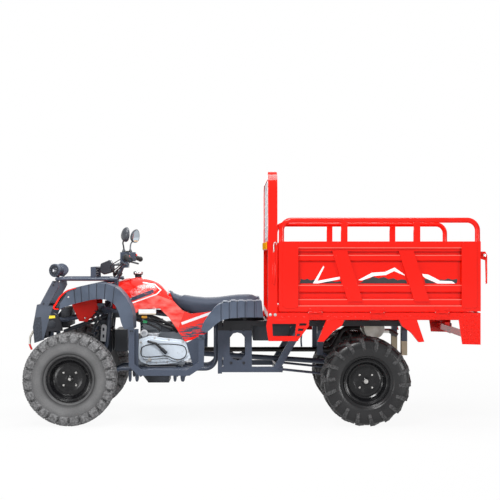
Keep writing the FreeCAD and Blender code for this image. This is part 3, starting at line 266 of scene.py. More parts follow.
for name, place, aim, size, power in (
        ("key_box", (-1.5, -4.5, 5.2), (0, 0, 0.7), (2.0, 1.2), 290),
        ("front_fill", (-3.6, -4.2, 0.7), (-0.6, 0, 0.5), (2.0, 1.2), 60),
        ("rear_fill", (4.0, -4.4, 0.7), (0.9, 0, 0.6), (2.0, 1.2), 95),
        ("top_box", (0.3, -0.3, 4.2), (0, 0, 0), (3.2, 1.6), 190),
        ("back_box", (0.5, 5.0, 2.5), (0, 0, 0.7), (4.0, 2.5), 80)):
    lamp_data = bpy.data.lights.new(name, "AREA")
    lamp_data.shape = "RECTANGLE"
    lamp_data.size, lamp_data.size_y = size
    lamp_data.energy = power
    lamp = linked(name, lamp_data)
    lamp.location = place
    toward = Vector(aim) - Vector(place)
    lamp.rotation_euler = toward.to_track_quat("-Z", "Y").to_euler()


# Mesh work shared by what follows. A solid is a pair of points, in millimetres, and
# faces. A piece is one mesh that rides on a body, with its finish.
mm = 0.001


def piece(name, mesh, finish, body, stands_for, sharp):
    made = linked(name, mesh)
    mesh.materials.clear()
    mesh.materials.append(finish.material)
    mesh.shade_smooth()
    mesh.set_sharp_from_angle(angle=math.radians(sharp))
    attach(made, body)
    if stands_for:
        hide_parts(*stands_for)
    return made


def joined(*solids):
    if len(solids) == 1:
        return solids[0]
    points, faces, start = [], [], 0
    for part_points, part_faces in solids:
        points.append(part_points)
        faces.extend([[i + start for i in face] for face in part_faces])
        start += len(part_points)
    return np.concatenate(points), faces


def mirrored(solid):
    return solid[0] * (1, -1, 1), solid[1]


def both(*solids):
    """Solids of one side and their mirror images on the other."""
    one = joined(*solids)
    return joined(one, mirrored(one))


def merged(mesh, reach, finishing):
    """Merges a mesh's points within reach, then runs one more step on its bmesh."""
    work = bmesh.new()
    work.from_mesh(mesh)
    bmesh.ops.remove_doubles(work, verts=work.verts, dist=reach)
    finishing(work)
    work.to_mesh(mesh)
    work.free()


def modifier(made, name, kind, **settings):
    added = made.modifiers.new(name, kind)
    for key, value in settings.items():
        setattr(added, key, value)
    return added


def add(name, finish, *solids, slot=None, body="chassis", stands_for=(), sharp=35):
    """One piece of several solids, with doubles merged and its faces turned outwards."""
    points, faces = joined(*solids)
    mesh = bpy.data.meshes.new(name)
    mesh.from_pydata((points * mm).tolist(), [], faces)
    merged(mesh, 1e-6, lambda work: bmesh.ops.recalc_face_normals(work, faces=work.faces))
    return piece(name, mesh, finish, body, stands_for, sharp)


def swept(rings):
    """Closed solids from rings[item, station, point], joined along and round, with ends capped."""
    rings = np.asarray(rings, float)
    index = np.arange(rings.size // 3).reshape(rings.shape[:3])
    ring = np.concatenate([index, index[:, :, :1]], axis=2)
    quads = np.stack([ring[:, :-1, :-1], ring[:, :-1, 1:], ring[:, 1:, 1:], ring[:, 1:, :-1]], axis=-1)
    caps = np.concatenate([index[:, 0, ::-1], index[:, -1]])
    return rings.reshape(-1, 3), quads.reshape(-1, 4).tolist() + caps.tolist()


def circle(count):
    """The cosines and sines of count even turns."""
    turn = np.linspace(0, 2 * math.pi, count, endpoint=False)
    return np.cos(turn), np.sin(turn)


def lathe(profile, segments, upright=True):
    """A closed profile of (radius, along) pairs turned about z, or about y if not upright."""
    radius, along = np.asarray(profile, float).T
    first, second = (np.outer(part, radius) for part in circle(segments))
    line = np.broadcast_to(along, first.shape)
    points = np.stack((first, second, line) if upright else (first, line, second), axis=-1)
    index = np.arange(first.size).reshape(first.shape)
    beside = np.roll(index, -1, axis=1)
    quads = np.stack([index, beside, np.roll(beside, -1, axis=0), np.roll(index, -1, axis=0)], axis=-1)
    return points.reshape(-1, 3), quads.reshape(-1, 4).tolist()


def moved(solid, place):
    return solid[0] + place, solid[1]


def aimed(solid, place, toward):
    """A solid made about z, with that axis turned towards a direction and its foot at place."""
    turn = np.array(Vector(toward).to_track_quat("Z", "Y").to_matrix())
    return solid[0] @ turn.T + np.asarray(place), solid[1]


def knob(profile, place, toward, segments=40):
    """(radius, along) pairs turned about a direction from place."""
    return aimed(lathe(profile, segments), place, toward)


def arc_length(line):
    return np.concatenate([[0], np.cumsum(np.linalg.norm(np.diff(line, axis=0), axis=1))])


def smooth_line(points, count):
    """A Catmull-Rom curve through the points: count places, evenly spaced along it."""
    points = np.asarray(points, float)
    ends = np.concatenate([[2 * points[0] - points[1]], points, [2 * points[-1] - points[-2]]])
    t = np.linspace(0, 1, 24, endpoint=False)[:, None]
    parts = [0.5 * (2 * b + (c - a) * t + (2 * a - 5 * b + 4 * c - d) * t ** 2
                    + (3 * b - a - 3 * c + d) * t ** 3)
             for a, b, c, d in zip(ends, ends[1:], ends[2:], ends[3:])]
    fine = np.concatenate(parts + [points[-1:]])
    gone = arc_length(fine)
    spots = np.linspace(0, gone[-1], count)
    return np.stack([np.interp(spots, gone, column) for column in fine.T], axis=-1)


def tube(points, radius, around=12, count=40, straight=False):
    """A round tube through the points, or along them as they are, carried along without twist."""
    line = np.asarray(points, float) if straight else smooth_line(points, count)
    ahead = np.gradient(line, axis=0)
    ahead /= np.linalg.norm(ahead, axis=1, keepdims=True)
    side = np.cross(ahead[0], (0, 0, 1) if abs(ahead[0][2]) < 0.9 else (1, 0, 0))
    sides = []
    for step in ahead:
        side = side - step * side.dot(step)
        side = side / np.linalg.norm(side)
        sides.append(side)
    sides = np.array(sides)[:, None]
    ups = np.cross(ahead, sides[:, 0])[:, None]
    cosine, sine = circle(around)
    return swept([line[:, None] + (sides * cosine[:, None] + ups * sine[:, None]) * radius])


def rod(points, radius, around=12):
    return tube(points, radius, around, straight=True)


def plate(outline, axis, low, high, edge=0.8):
    """An outline of pairs carried along an axis from low to high, its end rings drawn in by edge."""
    flat = np.asarray(outline, float)
    middle = (flat.min(axis=0) + flat.max(axis=0)) / 2
    inner = middle + (flat - middle) * (1 - edge / np.abs(flat - middle).max())
    ease = min(edge, (high - low) / 3)
    levels = (low, low + ease, high - ease, high)
    return swept([[np.insert(shape, axis, level, axis=1)
                   for shape, level in zip((inner, flat, flat, inner), levels)]])


def round_rectangle(low, high, radius):
    """A rectangle between two corners whose corners are quarter turns of radius."""
    turn = np.linspace(0, math.pi / 2, 4)
    quarter = np.stack([np.cos(turn), np.sin(turn)], axis=-1) * radius
    (x0, z0), (x1, z1) = np.add(low, radius), np.subtract(high, radius)
    return np.concatenate([quarter + (x1, z1), quarter[::-1] * (-1, 1) + (x0, z1),
                           -quarter + (x0, z0), quarter[::-1] * (1, -1) + (x1, z0)])


def case(low, high, radius=6, edge=2, axis=1):
    """A moulded box between two corners, round in the view along its axis and eased at both ends."""
    outline = round_rectangle(np.delete(low, axis), np.delete(high, axis), radius)
    return plate(outline, axis, low[axis], high[axis], edge)


def at(y, *pairs):
    """(x, z) pairs of the side view as points at y."""
    return [(x, y, z) for x, z in pairs]


# Tyres: black rubber casings with ringed side walls under knobbly treads, the walls
# with painted shade and highlights in rings. The front blocks are short and dusty,
# the rear ones are bars that reach down the shoulder.
def tyre_rubber(name, axle, radius, high, shine):
    """Rubber whose side wall is painted in rings about the axle, partly dust and partly painted light:
    painted shade by the bead and in its grooves, painted highlights on its ridges, up to high.
    """
    made = Finish(name, "tyre", specular=0.35)
    reach = made.vector_maths("SUBTRACT", made.place, (axle[0], 0, axle[2]))
    reach = made.vector_maths("MULTIPLY", reach, (1, 0, 1))
    share = made.vector_maths("LENGTH", reach, out=1) * (1 / radius)
    # Painted shade by the bead and in the grooves, and a painted highlight on the ridge at 0.83 of the
    # radius, mixed with dust.
    rings = made.node("ValToRGB", {"stops": [
        (0.0, 0.0), (0.47, 0.0), (0.50, 0.6), (0.53, 0.6), (0.545, 0.0), (0.56, 0.25), (0.62, 0.85),
        (0.70, 1.0), (0.78, 0.75), (0.815, 0.55), (0.822, 0.05), (0.832, 1.2), (0.842, 0.1),
        (0.86, 0.35), (0.90, 0.12), (1.0, 0.0)]}, {"Fac": share})
    dust = made.noise(0.16, 2).span(0.3, 0.7)
    fine = made.noise(0.008, 4)
    made.set("Base Color", made.mix(rings * (dust * 0.35 + fine * 0.45 + 0.35), (10, 10, 11), high))
    made.set("Roughness", shine + dust * 0.25)
    made.bump(fine, 0.0006, 0.5)
    return made


def casing_line(radius, half, rim_half):
    """The casing's section from the inner bead over the crown to the outer one: (radius, across)."""
    crown = radius - 14
    outer = np.array([(128, rim_half - 12), (144, rim_half - 4), (160, 0.90 * half),
                      (0.62 * radius, 0.97 * half), (0.75 * radius, half), (0.87 * radius, 0.955 * half),
                      (0.94 * radius, 0.83 * half), (crown - 2, 0.6 * half), (crown, 0.3 * half)])
    line = smooth_line(np.concatenate([outer, [(crown + 0.5, 0)], outer[::-1] * (1, -1)]), 121)
    for ring, width, height in ((151, 2.2, 2.0), (163, 1.6, 1.4), (0.83 * radius, 1.4, 1.6)):
        rise = height * np.exp(-((line[:, 0] - ring) / width) ** 2)
        line[:, 1] += np.sign(line[:, 1]) * rise * (np.abs(line[:, 1]) > 0.5 * half)
    return line[::-1]


def tyre_solids(radius, half, rim_half, blocks, count):
    """The casing, and the tread: each block is a bar along a path of (turn, across, height)."""
    line = casing_line(radius, half, rim_half)
    inside = np.array([(128, rim_half - 13), (150, rim_half - 16), (190, 0.8 * half),
                       (radius - 30, 0.6 * half)])
    casing = lathe(np.concatenate([line, inside, inside[::-1] * (1, -1)]), 180, upright=False)
    gone = arc_length(line)
    gone -= gone[-1] / 2
    normal = np.stack([np.gradient(line[:, 1]), -np.gradient(line[:, 0])], axis=-1)
    normal /= np.linalg.norm(normal, axis=1, keepdims=True)
    normal *= np.sign(normal[len(line) // 2, 0])
    across = np.array([-0.62, -0.52, -0.43, 0.43, 0.52, 0.62])
    rise = np.array([-0.3, 0.6, 1.0, 1.0, 0.6, -0.3])
    sunk = -3
    tread = []
    for path, block_width in blocks:
        run = smooth_line(np.asarray(path) * (2 * math.pi / count, mm, mm), 11) / (1, mm, mm)
        step = np.gradient(run[:, :2] * (radius, 1), axis=0)
        step /= np.linalg.norm(step, axis=1, keepdims=True)
        turn = run[:, 0:1] - across * block_width * step[:, 1:2] / radius
        along = run[:, 1:2] + across * block_width * step[:, 0:1]
        height = np.maximum(run[:, 2:3] * rise, sunk)
        height[[0, -1]] = sunk
        for side in (-1, 1):
            section = [np.interp(along * side, gone, column) for column in (*line.T, *normal.T)]
            out = section[0] + height * section[2]
            y = section[1] + height * section[3]
            starts = np.arange(count)[:, None, None] * (2 * math.pi / count)
            turns = side * turn + starts + (side < 0) * math.pi / count
            tread.append(swept(np.stack([out * np.sin(turns), np.broadcast_to(y, turns.shape),
                                         -out * np.cos(turns)], axis=-1)))
    return casing, joined(*tread)


wheel_sides = {"left": -1, "right": 1}
tyre_kinds = {
    "front": (24, (165, 165, 168), 0.42, (75, 75, 77), (190, 190, 195), 71, [
        ([(0.02, 60, 13), (0.0, 75, 13), (0.0, 85, 12), (-0.04, 104, 11), (-0.04, 124, 6)], 56),
        ([(0.5, 60, 12), (0.5, 66, 12), (0.5, 74, 11), (0.5, 84, 8)], 16),
        ([(0.22, 31, 13), (0.26, 38, 13), (0.30, 52, 13)], 30),
        ([(0.80, 4, 13), (0.74, 13, 13), (0.68, 27, 13)], 30)]),
    "rear": (18, (14, 14, 15), 0.2, (22, 22, 23), (75, 75, 77), 103, [
        ([(-0.42, 8, 13), (-0.1, 50, 13), (0.10, 95, 13), (0.22, 140, 12), (0.30, 184, 7)], 27),
        ([(0.34, 12, 12), (0.42, 30, 12)], 30)])}
wheels = []
for end, (count, wall, shine, tread_low, tread_high, rim_half, blocks) in tyre_kinds.items():
    for side, sign in wheel_sides.items():
        node = f"tyre_{end}_{side}"
        low, high = np.array(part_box(node)) / mm
        axle = (low + high) / 2
        radius, half = (high[2] - low[2]) / 2, (high[1] - low[1]) / 2 - 1
        wheels.append((end, side, sign, axle, rim_half))
        if side == "left":
            rubber = tyre_rubber(f"{end}_rubber", axle * mm, radius * mm, wall, shine)
            tread_rubber = cloudy(f"{end}_tread", 0.012, 4, tread_low, tread_high, 0.55, 0.2,
                                  (0.35, 0.68), specular=0.3, slot="tyre")
        casing, tread = tyre_solids(radius, half, rim_half, blocks, count)
        for part, finish, solid in (("rubber", rubber, casing), ("tread", tread_rubber, tread)):
            add(f"{node}_{part}", finish, moved(solid, axle), body=f"wheel_{end}_{side}",
                stands_for=(node,), sharp=28)


# Rims: pressed steel discs in gloss black, with a rolled lip, a stepped well, four
# bright wheel nuts and a hub cap with a nut at the middle.
def bolt_heads(places, direction, size, height, washer=1.5):
    """Hexagon heads on round washers at places, standing out along an axis with its sign."""
    axis, sign = direction
    foot = 0.16 * height
    solids = []
    for sides, radius, base, top in ((14, size * washer / 2, 0, foot),
                                     (6, size / 2, foot, height)):
        flat = np.stack(circle(sides), axis=-1) * radius
        rings = [np.insert(flat * share, axis, sign * (base + level * (top - base)), axis=1)
                 for share, level in ((1, 0), (1, 0.8), (0.84, 1))]
        solids.append(swept(np.reshape(places, (-1, 1, 1, 3)) + np.array(rings)[None]))
    return joined(*solids)


rim_black = cloudy("rim_black", 0.03, 4, (6, 6, 7), (12.25, 12.25, 13.25), 0.2, 0.25,
                   (0.45, 0.8), (0.006, 0.0004, 0.15), coat=0.1, specular=0.25, slot="rim")
zinc = cloudy("bright_zinc", 0.006, 3, (420, 410, 400), (660, 650, 630), 0.22, 0.2, metallic=1.0,
              slot="steel")
nut_circle = 55
for end, side, sign, axle, half in wheels:
    disc, dish, cap_size = (21, 17, 13) if end == "front" else (46, 22, 19)
    node, body = f"rim_{end}_{side}", f"wheel_{end}_{side}"
    profile = [(0.1, disc + 16), (16, disc + 16), (21, disc + 13), (23, disc + 3), (30, disc + 2),
               (68, disc + 2), (74, disc + 4), (82, disc + 5), (90, disc + 3), (98, disc + 1),
               (106, disc + 6), (112, disc + dish), (117, disc + dish + 10), (122, half - 12),
               (130, half - 9), (134.5, half - 6), (137, half - 1), (140, half), (142, half - 2),
               (141, half - 5), (127.5, half - 9), (127, 9 - half), (142, 5 - half), (140, -half),
               (136, 2 - half), (121, 9 - half), (119, disc - 20), (104, disc - 6), (50, disc - 4),
               (48, 3 - half), (0.1, 3 - half)]
    steel = lathe([(radius, sign * y) for radius, y in profile], 96, upright=False)
    add(f"{node}_steel", rim_black, moved(steel, axle), body=body, stands_for=(node,), sharp=30)
    nuts = bolt_heads([(nut_circle * math.cos(a), sign * (disc + 2), nut_circle * math.sin(a))
                       for a in np.radians([45, 135, 225, 315])], (1, sign), 10.5, 12, 1.2)
    cap = bolt_heads((0, sign * (disc + 15.5), 0), (1, sign), cap_size, 7, 1.4)
    valve = rod([(100, sign * (disc + 4), 30), (112, sign * (disc + 24), 34)], 4.5, 10)
    add(f"wheel_nuts_{end}_{side}", zinc, moved(joined(nuts, cap, valve), axle), body=body)


# Everything welded or cast that keeps its CAD form: a copy with its sharp edges
# rolled over, and the paint or metal of its kind.
sharp_edge = 32


def rounded(finish, edge, *nodes):
    """Merged copies of CAD nodes with bevels of edge mm on their sharp edges, standing for them."""
    for node in nodes:
        source = frame["nodes"][node]
        mesh = source.data.copy()
        for name in [a.name for a in mesh.attributes if a.name == "custom_normal"]:
            mesh.attributes.remove(mesh.attributes[name])
        merged(mesh, 2e-5, lambda work: bmesh.ops.dissolve_limit(
            work, angle_limit=math.radians(0.5), verts=work.verts, edges=work.edges))
        made = piece(f"{node}_finished", mesh, finish, source["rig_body"], (node,), sharp_edge)
        modifier(made, "rolled_edges", "BEVEL", width=edge * mm, segments=2, limit_method="ANGLE",
                 angle_limit=math.radians(sharp_edge), use_clamp_overlap=True)


def frame_paint():
    made = Finish("frame_paint", "frame_paint", coat=0.1, specular=0.3)
    cloud = made.noise(0.12, 4)
    grit = made.noise(0.008, 3).span(0.5, 0.75)
    made.set("Base Color", made.mix(cloud * 0.5 + grit * 0.3, (40, 52, 80), (70, 86, 124)))
    made.set("Roughness", 0.34 + grit * 0.25)
    made.bump(made.noise(0.003, 2), 0.0003, 0.25)
    return made


frame_black = frame_paint()
dark_plastic = grained_plastic("case_plastic", (18, 21, 27), (36, 41, 52))
hanger_paint_and_shade = frame_paint()
# Painted shadow: the load frame's rails above 0.58 m are near black, standing for the shade under the bed.
# The rear lower ends are tan.
hanger_paint_and_shade.tint(hanger_paint_and_shade.axis(2) > 0.58, (12, 13, 17))
hanger_paint_and_shade.tint((hanger_paint_and_shade.axis(0) > 0.95) * (hanger_paint_and_shade.axis(2) < 0.512), (420, 370, 260))
rounded(hanger_paint_and_shade, 1.5, "load_frame")
rounded(frame_black, 1.5, "main_frame", "footrests", "rear_axle", "leaf_springs", "drive_links")
rounded(dark_plastic, 1.5, "battery_box", "skid_plate")

# Bolts of the window plates, and the clamp plates with two bolts each where the
# footrest loops meet the fenders.
window_bolts = at(-267.5, *[(x, z) for x in (-117, -36) for z in (373, 583)])
clamp_bolts = at(-482.5, (-740, 590), (-728, 590), (-305, 556), (-292, 548))
add("frame_bolts", dark_plastic, both(bolt_heads(window_bolts + clamp_bolts, (1, -1), 13, 7)),
    slot="frame_paint")
add("leg_clamps", frame_black, both(
    *[plate(round_rectangle(low, high, 6), 1, -486, -478.5)
      for low, high in (((-756, 574), (-714, 604)), ((-318, 538), (-279, 569)))]))

# Front suspension: painted arms, and coil springs wound round the dampers between
# two cups. The steering's rods and knuckles are bare forgings painted black.
rounded(frame_black, 1.5, "front_arms", "knuckle_left", "knuckle_right", "tie_rod_left", "tie_rod_right")
shock_foot = np.array((-1092, 292, 268))
shock_run = (-950, 232, 735) - shock_foot
length = np.linalg.norm(shock_run)
damper = [lathe([(0.1, 0), (13, 0), (19, 4), (19, 0.40 * length), (17, 0.42 * length), (9, 0.43 * length),
                 (9, 0.97 * length), (0.1, 0.97 * length)], 40)]
for level in (0.18 * length, 0.905 * length):
    damper.append(lathe([(20, level), (30, level), (31.5, level + 2), (31.5, level + 6), (28, level + 8),
                         (20, level + 8)], 40))
wind = np.linspace(0, 1, 340)
coil_turn = wind * 2 * math.pi * 8.5
coil = rod(np.stack([25.5 * np.cos(coil_turn), 25.5 * np.sin(coil_turn), (0.215 + 0.675 * wind) * length],
                     axis=-1), 4.2, 10)
spring_paint = cloudy("spring_paint", 0.005, 3, (30, 32, 37), (100, 100, 105), 0.3, 0.3,
                      (0.6, 0.72), coat=0.3, specular=0.4, slot="spring_paint")
add("shock_dampers", dark_plastic, both(aimed(joined(*damper), shock_foot, shock_run)),
    slot="frame_paint", stands_for=("front_shocks",))
add("shock_springs", spring_paint, both(aimed(coil, shock_foot, shock_run)),
    stands_for=("front_shocks",), sharp=60)


# Engine: cast aluminium block, finned cylinder and gearbox. The fan's shroud ahead of
# it is black plastic, and so is the rubber of the kick lever on the belt case.
def cast_alloy(name, low, high):
    made = Finish(name, "alloy", metallic=0.15, specular=0.4)
    cloud = made.noise(0.05, 4)
    grime = made.noise(0.02, 4).span(0.62, 0.85)
    made.set("Base Color", made.mix(grime * 0.6, made.mix(cloud, low, high), (90, 90, 95)))
    made.set("Roughness", 0.38 + cloud * 0.2)
    made.bump(made.noise(0.0022, 2), 0.0004, 0.35)
    return made


shroud_back, lever_side = -0.7861, -0.1965
engine_alloy = cast_alloy("engine_alloy", (190, 210, 240), (340, 370, 410))
engine_alloy.tint(engine_alloy.axis(0) < shroud_back, (18, 21, 27))
engine_alloy.set("Metallic", (engine_alloy.axis(0) > shroud_back) * 0.3)
rounded(engine_alloy, 2.5, "engine")
case_alloy = cast_alloy("cast_alloy", (520, 590, 670), (680, 750, 820))
case_alloy.tint(case_alloy.axis(1) < lever_side, (14, 15, 18))
case_alloy.set("Metallic", (case_alloy.axis(1) > lever_side) * 0.15)
rounded(case_alloy, 5, "belt_case")

# Belt case trim: the dark joint line that waves along its face, the casting's
# flange bolts, a drain plug and the rubber of the kick lever.
case_face = -190.5
joint_line = [(-698, 445), (-697, 420), (-684, 407), (-647, 404), (-590, 407.5), (-547, 411.5), (-518, 406),
              (-490, 393), (-454, 388), (-421, 399), (-406, 424), (-408, 452), (-425, 475), (-480, 485),
              (-560, 488), (-640, 484), (-688, 468), (-698, 445)]
ribs = [(12.5 - 1.5 * (i % 2), 8 + 4 * i) for i in range(9)]
add("case_joint", dark_plastic,
    tube(at(case_face, *joint_line), 3.1, 8, 110),
    tube(at(case_face, *[(x, z - 16) for x, z in joint_line[2:10]]), 1.8, 8, 60),
    knob([(0.1, -2), (10, 0), (12.5, 4), *ribs, (10, 46), (0.1, 48)], (-566, -213.5, 461), (18, -1, -17), 24))
case_bolts = at(-182.2, (-699, 497), (-700, 440), (-660, 372), (-600, 367), (-530, 372), (-465, 382),
                (-392, 440), (-430, 500), (-520, 515), (-610, 525))
add("case_bolts", zinc, bolt_heads(case_bolts, (1, -1), 9, 6),
    bolt_heads((-642, case_face, 385), (1, -1), 18, 10))
lug = np.array([(-0.5, 313), (-0.5, 268), (-0.4, 250), (-0.2, 242), (0.2, 242), (0.4, 250), (0.5, 268),
                (0.5, 313)])
add("cradle_lugs", frame_black, both(
    *[plate(lug * (width, 1) + (x, 0), 1, -166, -142, 1.5)
      for x, width in ((-771, 20), (-726, 24), (-480, 22), (-430, 30))]))

# Intake and carburettor: small silver castings on the block, with a ringed stub to
# the cylinder and a clamp.
carburettor_alloy = cast_alloy("carburettor_alloy", (420, 440, 470), (620, 640, 660))
bowl = [(0.1, 0), (19, 0), (23, 4), (23, 22), (17, 26), (17, 44), (24, 46), (24, 54), (0.1, 56)]
add("carburettor", carburettor_alloy,
    knob([(0.1, 0), (19, 0), (19, 52), (24, 54), (24, 62), (20, 64), (14, 64), (13, 50), (0.1, 50)],
         (-682, -78.5, 553), (0, -1, 0)),
    knob(bowl, (-646, -112, 500.5), (0, 0, 1)), knob(bowl, (-606, -118, 500.5), (0, 0, 1)),
    rod([(-632, -115, 538), (-590, -116, 538)], 15, 20))

# Hoses and wires over the cylinder: black rubber and sleeved loom, clipped to the
# frame at both ends, beside a relay and a flat air box.
hoses = cloudy("hose_rubber", 0.03, 3, (12, 12, 14), (35, 36, 40), 0.35, 0.25, specular=0.4)
add("hoses", hoses, *[tube(run, radius, 12, 50) for radius, run in (
    (10.5, [(-745, -128, 690), (-700, -135, 672), (-620, -118, 658), (-550, -118, 625), (-480, -125, 592),
            (-455, -100, 566)]),
    (9, [(-748, -120, 664), (-690, -132, 652), (-620, -122, 632), (-560, -126, 605), (-500, -130, 583),
         (-470, -90, 561)]),
    (7, [(-745, -112, 640), (-700, -128, 628), (-650, -135, 612), (-600, -132, 588), (-578, -122, 566)]),
    (5, [(-752, -132, 676), (-710, -146, 668), (-660, -146, 660), (-590, -136, 642), (-520, -134, 618),
         (-490, -118, 600)]))], sharp=60)
add("airbox", dark_plastic, case((-574, -128, 561), (-512, -92, 602)),
    case((-552, -85, 560.5), (-452, 85, 622), 14, 4))

# Loom plugs and the blank label under the tank: amber, green and white nylon.
amber = plain_paint("amber_plastic", "lamp", (800, 360, 20), (920, 480, 50))
add("amber_plug", amber, case((-697, -163, 652), (-661, -150, 668), 4))
green = plain_paint("green_plastic", "lamp", (20, 350, 120), (50, 480, 180))
add("green_plug", green, case((-689, -149, 620), (-661, -136, 638), 4))
label_white = plain_paint("label_film", "red_plastic", (780, 790, 800), (900, 910, 910), 0.4, 0.1)
label_white.tint(label_white.axis(2) < 0.6865, (660, 560, 440))
add("blank_label", label_white, case((-712, -208.5, 679), (-600, -206.5, 712.5), 3, 0.3))

# Small hangers: a brake lever rod under the load rail, and a bright slotted plate on
# each side of the frame behind the front wheel.
rod_top = (334, -250, 606.5)
add("lever_rods", frame_black, both(
    tube([rod_top, (334, -250, 560), (331, -250, 515), (334, -250, 475)], 5.5, 12, 20),
    knob([(0.1, 0), (10, 0), (10, 10), (5.5, 13), (0.1, 13)], rod_top, (0, 0, -1), 20)), sharp=50)
add("stay_plates", carburettor_alloy, both(
    plate([(-963, 507), (-929, 500), (-921, 600), (-927, 612), (-948, 614), (-955, 604)], 1, -170.5, -165.5)))
add("stay_slots", dark_plastic, both(
    *[case((-948, -171.5, z), (-936, -170.7, z + 22), 5, 0.2) for z in (527, 570)]))

# Behind the front wheel, between the frame tubes: a ribbed black oil tank and a relay
# box, and a brace on each side that runs up from the front crossmember.
add("side_boxes", dark_plastic, both(
    case((-978, -128, 425), (-893, -52, 575), 10, 3), case((-965, -132, 585), (-905, -60, 640)),
    case((-874, -135, 655), (-792, -60, 722)),
    tube([(-1205, -118, 566), (-1060, -122, 618), (-925, -126, 664)], 11, 14, 20),
    *[case((x, -131.5, 432), (x + 6, -127, 568), 2, 1) for x in (-966, -949, -932, -915)]))


# Exhaust: a bare steel pipe and a sooted silencer with a rolled seam at each end.
def worn_steel():
    made = Finish("satin_steel", "steel", metallic=1.0)
    cloud = made.noise(0.07, 5)
    made.set("Base Color", made.mix(cloud.span(0.3, 0.75), (420, 390, 340), (660, 650, 620)))
    made.set("Roughness", 0.28 + cloud * 0.25)
    return made


burnt_steel = worn_steel()
burnt_steel.tint(burnt_steel.axis(0) > 0.93, (110, 100, 100))
silencer = (burnt_steel.axis(0) > 0.752) * (burnt_steel.axis(2) > 0.505)
scorched = Value(burnt_steel, burnt_steel.shader.inputs["Base Color"].links[0].from_socket)
burnt_steel.set("Base Color", burnt_steel.mix(silencer, (30, 28, 28), scorched))
rounded(burnt_steel, 2, "exhaust")
add("silencer_seams", worn_steel(),
    *[knob([(64.5, 0), (67.5, 1.5), (67.5, 6.5), (64.5, 8)], (825, y, 578), (0, 1, 0), 60)
      for y in (-31, 205)])

# Front bumper: one moulded shield with wings, its lower corners textured, and two
# flat arms up to the rack, bolted at the top.
bumper_plastic = grained_plastic("bumper_plastic", (52, 65, 90), (78, 95, 128))
pits = bumper_plastic.noise(0.006, 2).span(0.4, 0.6)
textured = bumper_plastic.stripe((-1.372, 0.66), (-1.362, 0.50), 0.062)
bumper_plastic.tint(textured * (pits * 0.4 + 0.5), (28, 32, 42))
bumper_plastic.bump(pits * textured, 0.0012, 0.8)
pod_side = (bumper_plastic.along(0.962, 0, -0.272) > -1.4165) * (bumper_plastic.axis(2) < 0.70)
bumper_plastic.tint(pod_side, (12, 13, 18))
rounded(bumper_plastic, 4, "front_bumper")
add("bumper_bolts", dark_plastic, both(
    bolt_heads(at(-195.5, (-1262, 868), (-1255, 888), (-1326, 748)), (1, -1), 9, 5)))

# Winch: black drum housings; on the near pod a blank yellow film and a round boss.
# The hook is galvanised with a red lever latch. Behind it is the finned radiator.
rounded(grained_plastic("pod_black", (6, 6, 9), (13, 14, 18)), 3, "winch")
add("winch_boss", dark_plastic, both(
    knob([(0.1, 0), (24, 0), (24, 4), (20, 6), (11, 6), (10, 10), (0.1, 10)],
         (-1272, -195.2, 616), (0, -1, 0))))
yellow = plain_paint("yellow_film", "red_plastic", (780, 600, 20), (900, 720, 50), 0.4, 0.1)
add("blank_film", yellow,
    plate([(-1291, 652), (-1289, 670), (-1252, 672), (-1250, 655)], 1, -196.2, -195.3, 0.3))
hook_steel = worn_steel()
latch_top = 0.474
hook_steel.tint(hook_steel.axis(2) < latch_top, (620, 20, 15))
hook_steel.set("Metallic", hook_steel.axis(2) > latch_top)
rounded(hook_steel, 1.5, "winch_hook")
radiator_black = grained_plastic("radiator_black", (16, 18, 22), (34, 37, 45))
fins = [0.612 + 0.0105 * i for i in range(9)]
radiator_black.bump(radiator_black.lines(radiator_black.axis(2), fins, 0.0028), 0.0015, 0.6)
rounded(radiator_black, 1.5, "radiator")

# Front rack of painted tube, with a welded wire panel in its upright hoop: nine
# upright wires in front of three that run across.
rounded(frame_black, 1.5, "front_rack")
wires = [[(-1010.5, -126 + 31.5 * i, z) for z in (917, 978)] for i in range(9)]
wires += [[(-1007.5, y, 930 + 16 * i) for y in (-144, 144)] for i in range(3)]
add("hoop_wires", frame_black, *[rod(wire, 1.6, 6) for wire in wires], sharp=60)

# Headlamps: black finned housings, a front ring with twelve slots round a domed
# clear lens over a bright reflector.
lamp_face = np.array((-1264, -155.5, 961))
lamp_turn = math.radians(62)
lamp_back = np.array((math.cos(lamp_turn), math.sin(lamp_turn), 0))
housing = [(0.1, 4), (24, 4), (25.5, 1.5), (40, 0), (42.5, 2.5), (43, 8), (43, 20), (40.5, 25.5), (30, 26)]
for fin in range(4):
    foot, radius = 33 + 10 * fin, 40 - 3 * fin
    housing += [(20.5, foot), (radius - 1, foot), (radius, foot + 1), (radius, foot + 3),
                (radius - 1, foot + 4), (20.5, foot + 4.2)]
housing += [(23.5, 69.5), (0.1, 70)]


def lamp_pair(*solids):
    return both(aimed(joined(*solids), lamp_face, lamp_back))


def fan_plate(angle, corners, low, high, edge):
    """A thin plate at an angle round a dial, from (radius, turn) corners."""
    return plate([(radius * math.cos(angle + turn), radius * math.sin(angle + turn))
                  for radius, turn in corners], 2, low, high, edge)


